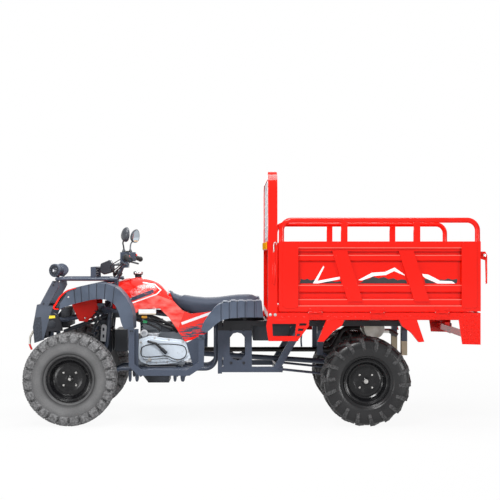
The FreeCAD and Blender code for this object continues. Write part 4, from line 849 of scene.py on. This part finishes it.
lamp_lens = Finish("lamp_lens", "lamp", roughness=0.08, specular=0.6)
from_middle = lamp_lens.vector_maths("DISTANCE", lamp_lens.place, (-1.268, -0.158, 0.961), out=1)
lamp_lens.set("Base Color", lamp_lens.mix(from_middle.span(0.005, 0.009), (800, 820, 850), (35, 42, 58)))
lamp_lens.bump(lamp_lens.noise(0.004, 2), 0.0008, 0.5)
posts = []
for sign in (-1, 1):
    y = (lamp_face * (1, -sign, 1) + lamp_back * (35, -sign * 35, 0))[1]
    posts.append(case((-1254, y - 12, 917.4), (-1234, y + 12, 946), 4, 1))
add("lamp_housings", grained_plastic("lamp_black", (45, 56, 78), (85, 105, 145)),
    lamp_pair(lathe(housing, 60)), *posts, slot="lamp", stands_for=("headlamps",), sharp=40)
slot = [(27.5, -0.13), (27.5, 0.13), (38.5, 0.11), (38.5, -0.11)]
add("lamp_slots", dark_plastic, lamp_pair(
    *[fan_plate(turn * math.pi / 6, slot, -1.6, 0.8, 0.4) for turn in range(12)],
    lathe([(22.5, -0.6), (26.5, -0.6), (27.2, 0.4), (26.5, 4), (22.5, 4)], 40)))
add("lamp_lenses", lamp_lens, lamp_pair(
    lathe([(0.1, -3.5), (8, -3), (16, -1.2), (21, 1.2), (22.5, 3.5), (0.1, 3.5)], 40)), sharp=60)


# Fenders: thick black mouldings with pressed seams, darker in their grooves as painted
# shade. In front of each, a red bezel frames a black inset; clips hold the fenders to
# the cowl.
def ribbed_fender(name, spots, lean, low, high):
    """The moulding's plastic with painted shade in a groove at each spot and along the front recess, lean
    being how the grooves fan out.
    """
    made = grained_plastic(name, low, high)
    fan = made.axis(0) - (made.axis(2) - 0.85) * lean * (made.axis(0) - float(np.mean(spots)))
    groove_shade = made.lines(fan, spots, 0.0032)
    fall = made.lines(fan, [spot + 0.006 for spot in spots], 0.010)
    recess_shade = made.stripe((-1.148, 0.828), (-1.199, 0.757), 0.024)
    # Painted shade: the seams' grooves and the recess at the front are darkened.
    made.tint((groove_shade * 0.85 + recess_shade).span(0.0, 1.0), (10, 11, 15))
    made.bump(fall - groove_shade * 1.5, 0.004, 0.8)
    return made


rounded(ribbed_fender("front_fender_plastic", [-1.094, -1.051, -1.001, -0.953, -0.901, -0.844], 0.9,
                      (46, 60, 88), (74, 94, 134)), 2, "front_fender_left", "front_fender_right")
rear_ribs = ribbed_fender("rear_fender_plastic", [-0.179, -0.128, -0.078, -0.028, 0.030], 0.0,
                          (54, 72, 106), (84, 108, 154))
rounded(rear_ribs, 2, "rear_fenders")
rib_caps = [(-168, -139, 768.5), (-117, -89, 773.5), (-67, -39, 773.5), (-17, 19, 773.5), (41, 70, 773.5)]
add("fender_rib_caps", rear_ribs, both(
    *[case((x0, -426.5, foot), (x1, -215, foot + 3), 1.4, 2.5) for x0, x1, foot in rib_caps]))


# Front cowl, tank cover and side panels: red moulded plastic, glossy over a faint
# orange peel, with a pale painted sheen on the tank cover's flanks. Plain white and
# dark stripes decorate the tank and the side panels.
def red_plastic(name, coat):
    return cloudy(name, 0.25, 3, (760, 12, 6), (810, 16, 8), 0.3, 0.05,
                  grain=(0.02, 0.0008, 0.06), coat=coat, coat_roughness=0.1, specular=0.1,
                  slot="red_plastic")


cover_red, tank_red = red_plastic("cowl_red", 0.15), red_plastic("tank_red", 1.0)
rounded(cover_red, 3, "front_cowl")
beside = tank_red.size_of(tank_red.axis(1)) > 0.075
streaks = tank_red.noise(0.010, 3, (5, 1, 0.6))
# A pale painted sheen in blotches on the flanks of the tank cover.
painted_sheen = (tank_red.stripe((-0.735, 0.775), (-0.43, 0.665), 0.15)
        * tank_red.noise(0.05, 5, (1.6, 1, 0.7)).span(0.30, 0.75))
tank_red.tint(painted_sheen * beside * 0.5, (1000, 360, 310))
flecks = (tank_red.stripe((-0.765, 0.812), (-0.605, 0.858), 0.05)
          * (tank_red.noise(0.004, 2, (2.5, 1, 0.5)) > 0.56))
tank_red.tint(flecks * beside * 0.55, (620, 600, 620))
dark = tank_red.stripe((-0.776, 0.768), (-0.618, 0.829), 0.024) * (streaks > 0.34)
scuffs = tank_red.stripe((-0.445, 0.548), (-0.29, 0.590), 0.070) * (streaks > 0.47)
tank_red.tint((dark + scuffs > 0.5) * beside, (35, 45, 75))
white = sum(tank_red.stripe(*stripe) for stripe in (
    ((-0.690, 0.884), (-0.612, 0.870), 0.007), ((-0.614, 0.871), (-0.572, 0.833), 0.007),
    ((-0.572, 0.836), (-0.597, 0.809), 0.007), ((-0.757, 0.752), (-0.594, 0.810), 0.008),
    ((-0.436, 0.620), (-0.236, 0.692), 0.017)))
tank_red.tint((white > 0.5) * beside, (820, 800, 820))
rounded(tank_red, 3, "body_cover")
bezel_run = smooth_line([(-1081, 858), (-1137, 843), (-1180, 808), (-1205, 770), (-1223.5, 740), (-1217, 724),
                         (-1189, 722.5)], 28)
along = np.gradient(bezel_run, axis=0)
along /= np.linalg.norm(along, axis=1, keepdims=True)
depth = np.interp(np.linspace(0, 1, len(bezel_run)), (0, 0.3, 0.75, 1), (3, 8, 12, 6))[:, None]
inner_run = bezel_run + np.stack([-along[:, 1], along[:, 0]], axis=-1) * depth
add("red_bezels", cover_red, both(
    plate(np.concatenate([bezel_run, inner_run[::-1]]), 1, -476.5, -248.5, 1.2)))
add("bezel_insets", dark_plastic, both(
    plate([(-1136, 828), (-1172, 797), (-1193, 766), (-1205, 740), (-1192, 733), (-1176, 770), (-1150, 812)],
          1, -465.5, -252.5, 1)))
clip = [(0.1, 0), (6, 0), (6, 1), (4, 3), (0.1, 3.6)]
add("fender_clips", zinc, both(*[knob(clip, place, (0, -1, 0), 20) for place in (
    (-1128, -470.5, 800), (-1060, -175.5, 655), (-1030, -175.5, 820))]))

# Fuel cap: a black neck under a chromed, fluted cap with a key cover.
rounded(dark_plastic, 2, "fuel_cap")
chrome = cloudy("chrome", 0.02, 3, (600, 600, 620), (800, 800, 810), 0.10, 0.12, metallic=1.0, slot="steel")
flutes = 24
cosine, sine = circle(4 * flutes)
flute = 31.2 + 0.8 * np.tile([1, 0, -1, 0], flutes)
cap_rings = [np.stack([-731 + flute * share * cosine, flute * share * sine, np.full_like(sine, z)], axis=-1)
             for share, z in ((0.98, 937.5), (1.0, 939), (1.0, 950), (0.96, 952.5), (0.80, 953.5),
                              (0.78, 952.5), (0.3, 952.5), (0.28, 955), (0.05, 955.5))]
add("cap_lid", chrome, swept([cap_rings]), sharp=50)

# Seat: one long foam pad under black vinyl, puffed by a short cloth simulation. A
# sewn seam runs along both edges of its top panel.
vinyl = Finish("seat_vinyl", "vinyl", specular=0.12)
cloud, leather = vinyl.noise(0.10, 4), vinyl.noise(0.0022, 2)
seam = vinyl.lines(vinyl.size_of(vinyl.axis(1)), [0.112, 0.118], 0.0016) * (vinyl.axis(2) > 0.745)
vinyl.set("Base Color", vinyl.mix(cloud * 0.6 + leather * 0.3, (38, 47, 69), (62, 76, 105)))
vinyl.set("Roughness", 0.46 + leather * 0.2)
vinyl.bump(leather - seam * 4, 0.0004, 0.5)


def points_of(mesh):
    flat = np.empty(len(mesh.vertices) * 3)
    mesh.vertices.foreach_get("co", flat)
    return flat.reshape(-1, 3)


def as_modified(made):
    """The mesh of an object as its modifiers leave it."""
    graph = bpy.context.evaluated_depsgraph_get()
    return bpy.data.meshes.new_from_object(made.evaluated_get(graph))


foam = linked("seat_foam", frame["nodes"]["seat"].data.copy())
solid = points_of(foam.data)
foam_low, foam_high = solid.min(axis=0), solid.max(axis=0)
middle = (foam_low + foam_high) / 2
upper = solid[:, 2:] > foam_low[2] + 0.02
shrunk = middle + (solid - middle) * (0.985, 0.95, 1) - (0, 0, 0.004) * upper
foam.data.vertices.foreach_set("co", shrunk.ravel())
modifier(foam, "even_faces", "REMESH", mode="VOXEL", voxel_size=0.006)
foam_mesh = as_modified(foam)
foam.modifiers.clear()
foam.data = foam_mesh
rest = points_of(foam_mesh)
column_count = 48
columns = np.linspace(foam_low[0], foam_high[0], column_count)
column = np.clip(np.searchsorted(columns, rest[:, 0]), 1, column_count - 1)
crown, under = np.full(column_count, -9.0), np.full(column_count, 9.0)
np.maximum.at(crown, column, rest[:, 2])
np.minimum.at(under, column, rest[:, 2])
crown, under = np.interp(rest[:, 0], columns, crown), np.interp(rest[:, 0], columns, under)
seat_line = mm * np.array([(-526, 822), (-465, 802), (-399, 788), (-358, 780), (-286, 772), (-214, 774.5),
                           (-152, 783), (-70, 791.5), (0, 793), (58.5, 790), (74, 768)])
lift = (np.interp(rest[:, 0], *seat_line.T) - crown) * np.clip((rest[:, 2] - under) / (crown - under), 0, 1)
rest = rest + lift[:, None] * (0, 0, 1)
foam_mesh.vertices.foreach_set("co", rest.ravel())
shaped = rest
cloth = modifier(foam, "fill", "CLOTH").settings
cloth.quality = 6
cloth.mass = 0.3
cloth.use_pressure = True
cloth.uniform_pressure_force = 4
cloth.effector_weights.gravity = 0
for step in range(1, 21):
    bpy.context.scene.frame_set(step)
most_move, foot_band = 0.008, 0.03
move = points_of(as_modified(foam)) - rest
move *= np.minimum(1, most_move / np.maximum(np.linalg.norm(move, axis=1, keepdims=True), 1e-9))
move[:, 2] *= np.clip((rest[:, 2] - foam_low[2] - 0.004) / foot_band, 0, 1)
shaped = rest + move
foam.modifiers.clear()
bpy.context.scene.frame_set(1)
seat_mesh = foam_mesh.copy()
seat_mesh.vertices.foreach_set("co", np.clip(shaped, foam_low, foam_high).ravel())
bpy.data.objects.remove(foam)
cushion = piece("seat_cushion", seat_mesh, vinyl, "chassis", ("seat",), 70)
modifier(cushion, "smooth_vinyl", "SMOOTH", iterations=14)
modifier(cushion, "finer", "SUBSURF", levels=1, render_levels=1)

# Handlebar: painted tube with moulded switch boxes, cast lever perches and ribbed
# rubber grips. A dome with a horn button and a red knob sits on the near box.
rounded(frame_black, 2, "handlebar")
bar_start = np.array((-786, 270, 1048))
bar_step = (-750, 405, 1032) - bar_start
grip_length = np.linalg.norm(bar_step) - 6
bar_step = bar_step / np.linalg.norm(bar_step)
ridges = [(15 + i % 2, 8 + i * (grip_length - 22) / 27) for i in range(28)]
grip = [(11.2, 0), (18.5, 0), (19.5, 3), (18.5, 6), *ridges, (17.5, grip_length - 10),
        (18.5, grip_length - 6), (17.5, grip_length - 1), (13, grip_length + 2), (11.2, grip_length + 2)]
grip_rubber = cloudy("grip_rubber", 0.01, 3, (14, 14, 15), (35, 35, 37), 0.65, 0.2,
                     specular=0.3, slot="grip")
add("rubber_grips", grip_rubber, both(knob(grip, bar_start + bar_step * 14, bar_step, 28)),
    body="steering", stands_for=("grips",), sharp=50)
column_lean = math.radians(22.4)
add("controls", dark_plastic,
    both(knob([(11.2, 0), (17, 0), (18, 2), (18, 22), (17, 24), (11.2, 24)], bar_start - bar_step * 10,
              bar_step, 28),
         knob([(0.1, 0), (24, 0), (25, 4), (22, 12), (15, 19), (0.1, 22)], (-790, 256.5, 1046),
              (0.1, 1, 0.1), 36),
         *[case((-772, 206, z), (-763.5, 232, z + 10), 3, 1, axis=0) for z in (1028, 1046, 1062)]),
    case((-842, 204, 1060.2), (-804, 252, 1083.5), 4, 2, axis=2),
    case((-845, 201, 1083.7), (-801, 255, 1088.5), 4, 1, axis=2),
    knob([(12.5, 0), (20, 0), (22, 3), (22, 20), (20, 23), (12.5, 23)], (-862, 0, 929),
         (math.sin(column_lean), 0, math.cos(column_lean)), 32), body="steering")
red_knob = plain_paint("red_knob", "lamp", (700, 20, 12), (850, 35, 20))
add("red_buttons", red_knob,
    knob([(0.1, 0), (6, 0), (6.5, 2), (5.5, 5), (0.1, 6)], (-768, -268, 1052), (0.3, -1, 0.2), 20),
    knob([(0.1, 0), (8, 0), (9, 3), (7, 10), (0.1, 11)], (-767.5, 244, 1060), (1, 0, 0), 20), body="steering")
add("bar_bolts", zinc, both(
    bolt_heads([(-838, 38, 1022.2), (-802, 38, 1022.2)], (2, 1), 10, 7),
    bolt_heads((-812, 248, 1036), (2, 1), 9, 8)), body="steering")

# Cables and wires of the controls, tied to the column: they leave the switch boxes
# and go down beside it into the collar.
add("control_cables", hoses, both(*[tube(run, radius, 8, 40) for radius, run in (
    (4.5, [(-800, 215, 1020), (-822, 190, 992), (-850, 120, 968), (-872, 50, 946), (-882, 22, 926)]),
    (3.5, [(-812, 225, 1019), (-845, 180, 985), (-880, 100, 962), (-892, 40, 940), (-889, 18, 918)]),
    (3.0, [(-826, 245, 1034), (-868, 215, 1010), (-900, 130, 990), (-896, 50, 955), (-884, 20, 930)]))]),
    body="steering", sharp=60)

# Instrument: a black wedge-shaped pod, its dial behind a clear face with white marks
# and a red hand.
rounded(dark_plastic, 6, "instrument")
dial_black = plain_paint("dial_face", "black_plastic", (6, 7, 9), (12, 13, 16), 0.12, 0.8)
mark = [(19, 0.03), (24, 0.03), (24, -0.03), (19, -0.03)]
for name, finish, solid in (
        ("dial_ring", chrome, lathe([(26, 0), (34, 0), (34.5, 3), (32, 5), (29, 5), (26, 2)], 48)),
        ("dial_glass", dial_black, lathe([(0.1, 0), (26.2, 0), (26.2, 1.6), (0.1, 2)], 48)),
        ("dial_marks", zinc, joined(*[fan_plate(turn, mark, 1.7, 2.2, 0.05)
                                      for turn in np.radians(np.linspace(-225, 45, 11))])),
        ("dial_hand", red_knob, plate([(-1, -4), (1, -4), (0.5, 18), (-0.5, 18)], 2, 2.2, 2.7, 0.05))):
    add(name, finish, aimed(solid, (-901.5, 0, 1003), (0.874, 0, 0.486)), body="steering")

# Mirrors: leaf-shaped black shells on thin stems, domed in front, with a flat
# silvered glass behind and a small amber strip at the glass's foot.
cosine, sine = circle(64)
leaf = np.stack([47 * cosine * (1 - 0.16 * sine) + 10 * sine, 46.5 * sine * (1 + 0.06 * cosine)], axis=-1)
turn_in = math.radians(-27)
mirror_turn = np.array([[math.cos(turn_in), -math.sin(turn_in), 0], [math.sin(turn_in), math.cos(turn_in), 0],
                        [0, 0, 1]])


def leaf_solid(*levels):
    """Scaled copies of the leaf outline at (share, depth) levels, closed at both ends."""
    return swept([[np.insert(leaf * share, 0, depth, axis=1) for share, depth in levels]])


def mirror_pair(solid):
    return both((solid[0] @ mirror_turn.T + (-783, 360, 1191), solid[1]))


stem_foot = (-804, 238, 1080.5)
mirror_black = plain_paint("mirror_shell", "black_plastic", (30, 34, 42), (50, 56, 68), 0.38, 0.3)
silvered = cloudy("mirror_glass", 0.05, 3, (500, 580, 660), (660, 740, 800), 0.03, 0.06, metallic=1.0,
                  slot="lamp")
add("mirror_shells", mirror_black, mirror_pair(leaf_solid(
    (0.02, -22.5), (0.35, -21.5), (0.62, -18.5), (0.82, -13), (0.94, -6), (1.0, 2), (1.0, 8), (0.97, 10),
    (0.925, 10), (0.915, 7.5), (0.02, 7.5))), both(
        tube([stem_foot, (-804, 238, 1098), (-805, 262, 1122), (-804, 305, 1140), (-793, 340, 1162),
              (-790, 350, 1178)], 5, 14, 40),
        knob([(5, 0), (13, 0), (13, 4), (9, 14), (5.5, 20), (5, 20)], (-804, 238, 1080.3), (0, 0, 1), 20)),
    body="steering", stands_for=("mirrors",), sharp=45)
add("mirror_glasses", silvered, mirror_pair(leaf_solid((0.9, 7.7), (0.9, 9.2), (0.88, 9.5), (0.02, 9.7))),
    body="steering")
add("mirror_strips", amber, mirror_pair(case((9.8, -24, -37.5), (10.8, 18, -31.5), 2, 0.3, axis=0)),
    body="steering")


# Cargo bed: bright red enamel over pressed and folded sheet, glossy with a faint
# orange peel, dulled by dust in small spots. The sides' pressed ribs carry painted
# highlights on their crests and painted shade in their hollows.
def red_paint(name):
    made = Finish(name, "red_paint", coat=0.5, coat_roughness=0.09, specular=0.0)
    dust = made.noise(0.02, 4).span(0.62, 0.8)
    made.set("Base Color", made.mix(made.noise(0.3, 3) * 0.35 + dust * 0.1, (690, 7, 2), (770, 13, 5)))
    made.set("Roughness", 0.3 + dust * 0.2)
    made.bump(made.noise(0.009, 2), 0.0006, 0.12)
    return made


bed_red, side_red = red_paint("bed_paint"), red_paint("side_paint")
out_from_middle, up = side_red.size_of(side_red.axis(1)), side_red.axis(2)
in_panel = (side_red.size_of(side_red.axis(0) - 0.798) < 0.508) * (out_from_middle > 0.57)
behind = out_from_middle < 0.594
# Painted shade in the hollows under the sides' ribs, and painted highlights along their upper edges.
hollow_shade = behind * side_red.lines(up, [0.7560, 0.8290, 1.0220, 1.0810], 0.0060)
crest_highlights = (side_red.lines(up, [0.7515, 1.1065], 0.0032)
          + behind * side_red.lines(up, [0.7895, 0.8770, 1.0610], 0.0032))
side_red.tint(hollow_shade * in_panel * 0.6, (300, 2, 1))
side_red.tint(crest_highlights * in_panel * 0.75, (1000, 300, 240))
rounded(bed_red, 2, "bed_base", "headboard", "bed_guards", "side_steps", "tail_guards")
rounded(side_red, 4, "drop_side_left", "drop_side_right", "tailgate")


# Chequer plate: raised lozenges pressed into the sills and the tail's corner plates,
# set alternately at right angles.
def lozenges(spots, face):
    """Flat-topped lozenges at (along, up) spots of a face, each turned against the one before."""
    spots = np.asarray(spots, float)
    lean = np.where((np.arange(len(spots)) % 2)[:, None], math.pi / 4, -math.pi / 4)
    cosine, sine = circle(8)
    long_way, short_way = 11.2 * cosine, 3.4 * sine
    rings = []
    for share, level in ((1.0, -0.2), (0.82, 1.32), (0.5, 2.2)):
        x = spots[:, :1] + share * (long_way * np.cos(lean) - short_way * np.sin(lean))
        z = spots[:, 1:] + share * (long_way * np.sin(lean) + short_way * np.cos(lean))
        rings.append(np.stack([x, np.full_like(x, face + level), z], axis=-1))
    return swept(np.stack(rings, axis=1))


def checker(low, high, pitch=21.5):
    """Spots of a staggered grid between two corners, in order so that neighbours alternate."""
    columns, rows = (np.arange(a + pitch / 2, b - pitch / 3, pitch) for a, b in zip(low, high))
    if len(rows) % 2 == 0:
        rows = rows[:-1] + pitch / 2
    return [(x, z) for x in columns for z in rows]


hinge_xs = (399, 776, 1173)
sill_spots = [spot for spot in checker((113, 668), (1407, 708))
              if not any(abs(spot[0] - x) < 56 for x in hinge_xs) and not 112 < spot[0] < 168]
corner_spots = [(x, z) for x, z in checker((1275, 517), (1408, 665)) if x > 1284 + (665 - z) * 0.147]
add("chequer_sides", bed_red, both(lozenges(sill_spots + corner_spots, 600)), body="bed", sharp=20)
back_points, back_faces = lozenges(checker((445, 517), (597, 665)), 1410)
add("chequer_back", bed_red, both((back_points[:, [1, 0, 2]], back_faces)), body="bed", sharp=20)

# Hinges of the drop sides and the gate: two folded leaves each, riveted, the lower
# on the sill and the upper on the side, and a bright pin through both.
rivet = [(0.1, 0), (4.5, 0), (4, 1.2), (2, 2), (0.1, 2.2)]


def riveted_leaves(low, high, level, offsets):
    """A leaf at each hinge between two heights, with rivets at offsets from its middle."""
    leaves = [case((x - 44, -603.2, low), (x + 44, -600.2, high), 3, 0.5) for x in hinge_xs]
    return joined(*leaves, *[knob(rivet, (x + dx, -603.2, level), (0, -1, 0), 14)
                             for x in hinge_xs for dx in offsets])


add("hinge_pins", zinc, both(*[rod([(x - 42.5, -607, 712), (x + 42.5, -607, 712)], 3)
                               for x in hinge_xs]), body="bed")
add("sill_hinges", bed_red, both(riveted_leaves(678.5, 702.5, 690, (-34, 0, 34))), body="bed")
add("gate_hinges", bed_red, *[case((1411.2, y - 44, 730), (1413.2, y + 44, 748.5), 3, 0.5, axis=0)
                              for y in (-400, 0, 400)], body="tailgate")

# Side panels' trim: a bead round the pressed sheet, a plain dark band and a white
# zigzag as stripes, small weld dimples on the braces, raised ends and a latch.
dark_film = plain_paint("dark_film", "red_paint", (10, 10, 12), (28, 28, 32), 0.4, 0.2)
white_film = plain_paint("white_film", "red_paint", (800, 790, 800), (920, 910, 920), 0.4, 0.2)
dark_bands = [
    [(305, 888), (560.5, 888), (556, 902), (520, 898), (498, 905), (470, 899), (455, 909), (420, 903),
     (400, 914), (372, 907), (352, 918), (335, 911), (312, 916)],
    [(668, 888), (964, 888), (958, 908), (930, 914), (905, 908), (880, 921), (850, 914), (822, 928),
     (790, 920), (752, 930), (728, 915), (700, 913), (690, 900)],
    [(1076, 888), (1145, 888), (1108, 905), (1090, 914), (1067, 916)],
    [(1170, 889), (1268, 888.5), (1272, 917), (1240, 911), (1215, 919), (1190, 910), (1170, 914),
     (1150, 903)]]
white_bands = [
    [(386, 888.5), (449.5, 995.5), (455.5, 989), (413.5, 903.5), (551.4, 930), (551.4, 914), (418, 888.5)],
    [(664, 909), (748, 954), (828, 959), (887, 986), (948, 942), (949, 936), (884, 964), (834, 940),
     (761, 934), (687, 906)],
    [(1060, 933), (1073, 922), (1151, 887.5), (1259, 887.5), (1239, 902), (1165, 905), (1092, 943),
     (1056, 947)]]
side_trim = joined(
    *[rod([(298, -577.5, z), (1298, -577.5, z)], 2.2, 8) for z in (802, 1074.5)],
    *[knob(rivet, (x + (1090 - z) * 0.31, -600, z), (0, -1, 0), 14) for x in (520, 927)
      for z in (1060, 1000, 860, 800)],
    *[case((x, -603, 737), (x + 96, -599, 1146), 18, 1.6) for x in (200, 1293)],
    riveted_leaves(724, 747, 735.5, (-34, 34)))
latch_pin = knob([(0.1, 0), (6, 0), (6, 12), (9, 13), (9, 17), (0.1, 18)], (1434, -585.7, 1062),
                 (0, -1, 0), 18)
latch_handle = tube([(1444.5, -591, 1050), (1447.5, -593.5, 990), (1447.5, -593.5, 930),
                     (1444.5, -591, 900)], 4.5, 10, 30)
for side, sign in wheel_sides.items():
    for name, finish, solid, sharp in (
            ("dark_band", dark_film,
             joined(*[plate(band, 1, -576.5, -576.2, 0.05) for band in dark_bands]), 35),
            ("white_zigzag", white_film,
             joined(*[plate(band, 1, -577.1, -576.7, 0.05) for band in white_bands]), 35),
            ("side_trim", bed_red, side_trim, 35), ("latch_pin", zinc, latch_pin, 35),
            ("latch_handle", bed_red, latch_handle, 60)):
        add(f"{name}_{side}", finish, solid if sign < 0 else mirrored(solid),
            body=f"drop_side_{side}", sharp=sharp)


# Headboard trim: fine expanded metal in the upper opening, an amber reflector across
# the front, and a sprung hook on each post that holds the drop side.
def expanded_metal(y0, z0, y1, z1, pitch=42, depth=1.6, width=2.8, slope=0.75):
    """Slanted strands both ways across a rectangle of y and z, cut off at its edges."""
    reach = (z1 - z0) / slope
    corners = [(-1, -1), (1, -1), (1, 1), (-1, 1)]
    strands = []
    for lean in (-1, 1):
        foot, head = (z0, z1) if lean > 0 else (z1, z0)
        for start in np.arange(y0 - reach, y1 + reach, pitch):
            t0, t1 = max(0, (y0 - start) / reach), min(1, (y1 - start) / reach)
            if t1 - t0 > 0.02:
                strands.append([[(119 + 0.9 * lean + dx * depth / 2, start + reach * t,
                                  foot + (head - foot) * t + dz * width / 2) for dx, dz in corners]
                                for t in (t0, t1)])
    return swept(strands)


zinc_mesh = cloudy("galvanised_mesh", 0.012, 2, (420, 430, 450), (680, 690, 710), 0.34, 0.2, metallic=0.85,
                   slot="steel")
rounded(zinc_mesh, 1, "headboard_grille")
low, high = np.array(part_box("headboard_grille")) / mm
add("expanded_metal", zinc_mesh, expanded_metal(low[1] + 92, low[2] + 2, high[1] - 92, high[2] - 2),
    body="bed", sharp=20)
add("reflector_board", bed_red, case((104.5, -598, 1094), (109.5, 598, 1147), 3, 1), body="bed")


def reflector(name, low, high):
    made = Finish(name, "lamp", roughness=0.6, specular=0.0)
    cells = made.node("TexVoronoi", None, {"Vector": made.place, "Scale": 260.0})
    made.set("Base Color", made.mix(cells, low, high))
    made.bump(cells, 0.0006, 0.5)
    return made


amber_reflex = reflector("amber_reflex", (800, 320, 5), (980, 480, 20))
add("amber_tapes", amber_reflex, case((102.5, -596, 1098), (104.3, 596, 1143), 2, 0.3, axis=0), body="bed")
spring_turn = np.linspace(0, 16 * math.pi, 200)
spring = np.stack([145 + 4.5 * np.cos(spring_turn), -607 + 4.5 * np.sin(spring_turn),
                   np.linspace(1088, 1128, 200)], axis=-1)
add("post_hooks", zinc, both(
    bolt_heads(at(-600.5, (124, 697.5), (154, 697.5)), (1, -1), 13, 6), rod(spring, 1.1, 6),
    tube([(145, -606.5, 1080), (145, -609.5, 1088), (145, -609.5, 1130), (152, -609.5, 1140),
          (160, -608, 1136), (162, -604, 1126)], 2.5, 8, 40)), body="bed", sharp=50)

# Tail lamps on their bar: dark red lenses in black cases, and a red reflector on the
# bar's end beside each corner plate.
red_lens = reflector("red_lens", (380, 6, 4), (620, 14, 10))
add("tail_lamp_cases", dark_plastic, both(
    case((1378.5, -418, 538), (1386.5, -302, 598), 6, 1.5, axis=0)), body="bed")
add("tail_lenses", red_lens, both(
    case((1386.7, -412, 543), (1394.5, -308, 593), 6, 2.5, axis=0),
    case((1312.5, -468, 590.5), (1328.5, -432, 648), 5, 1.5)), body="bed")
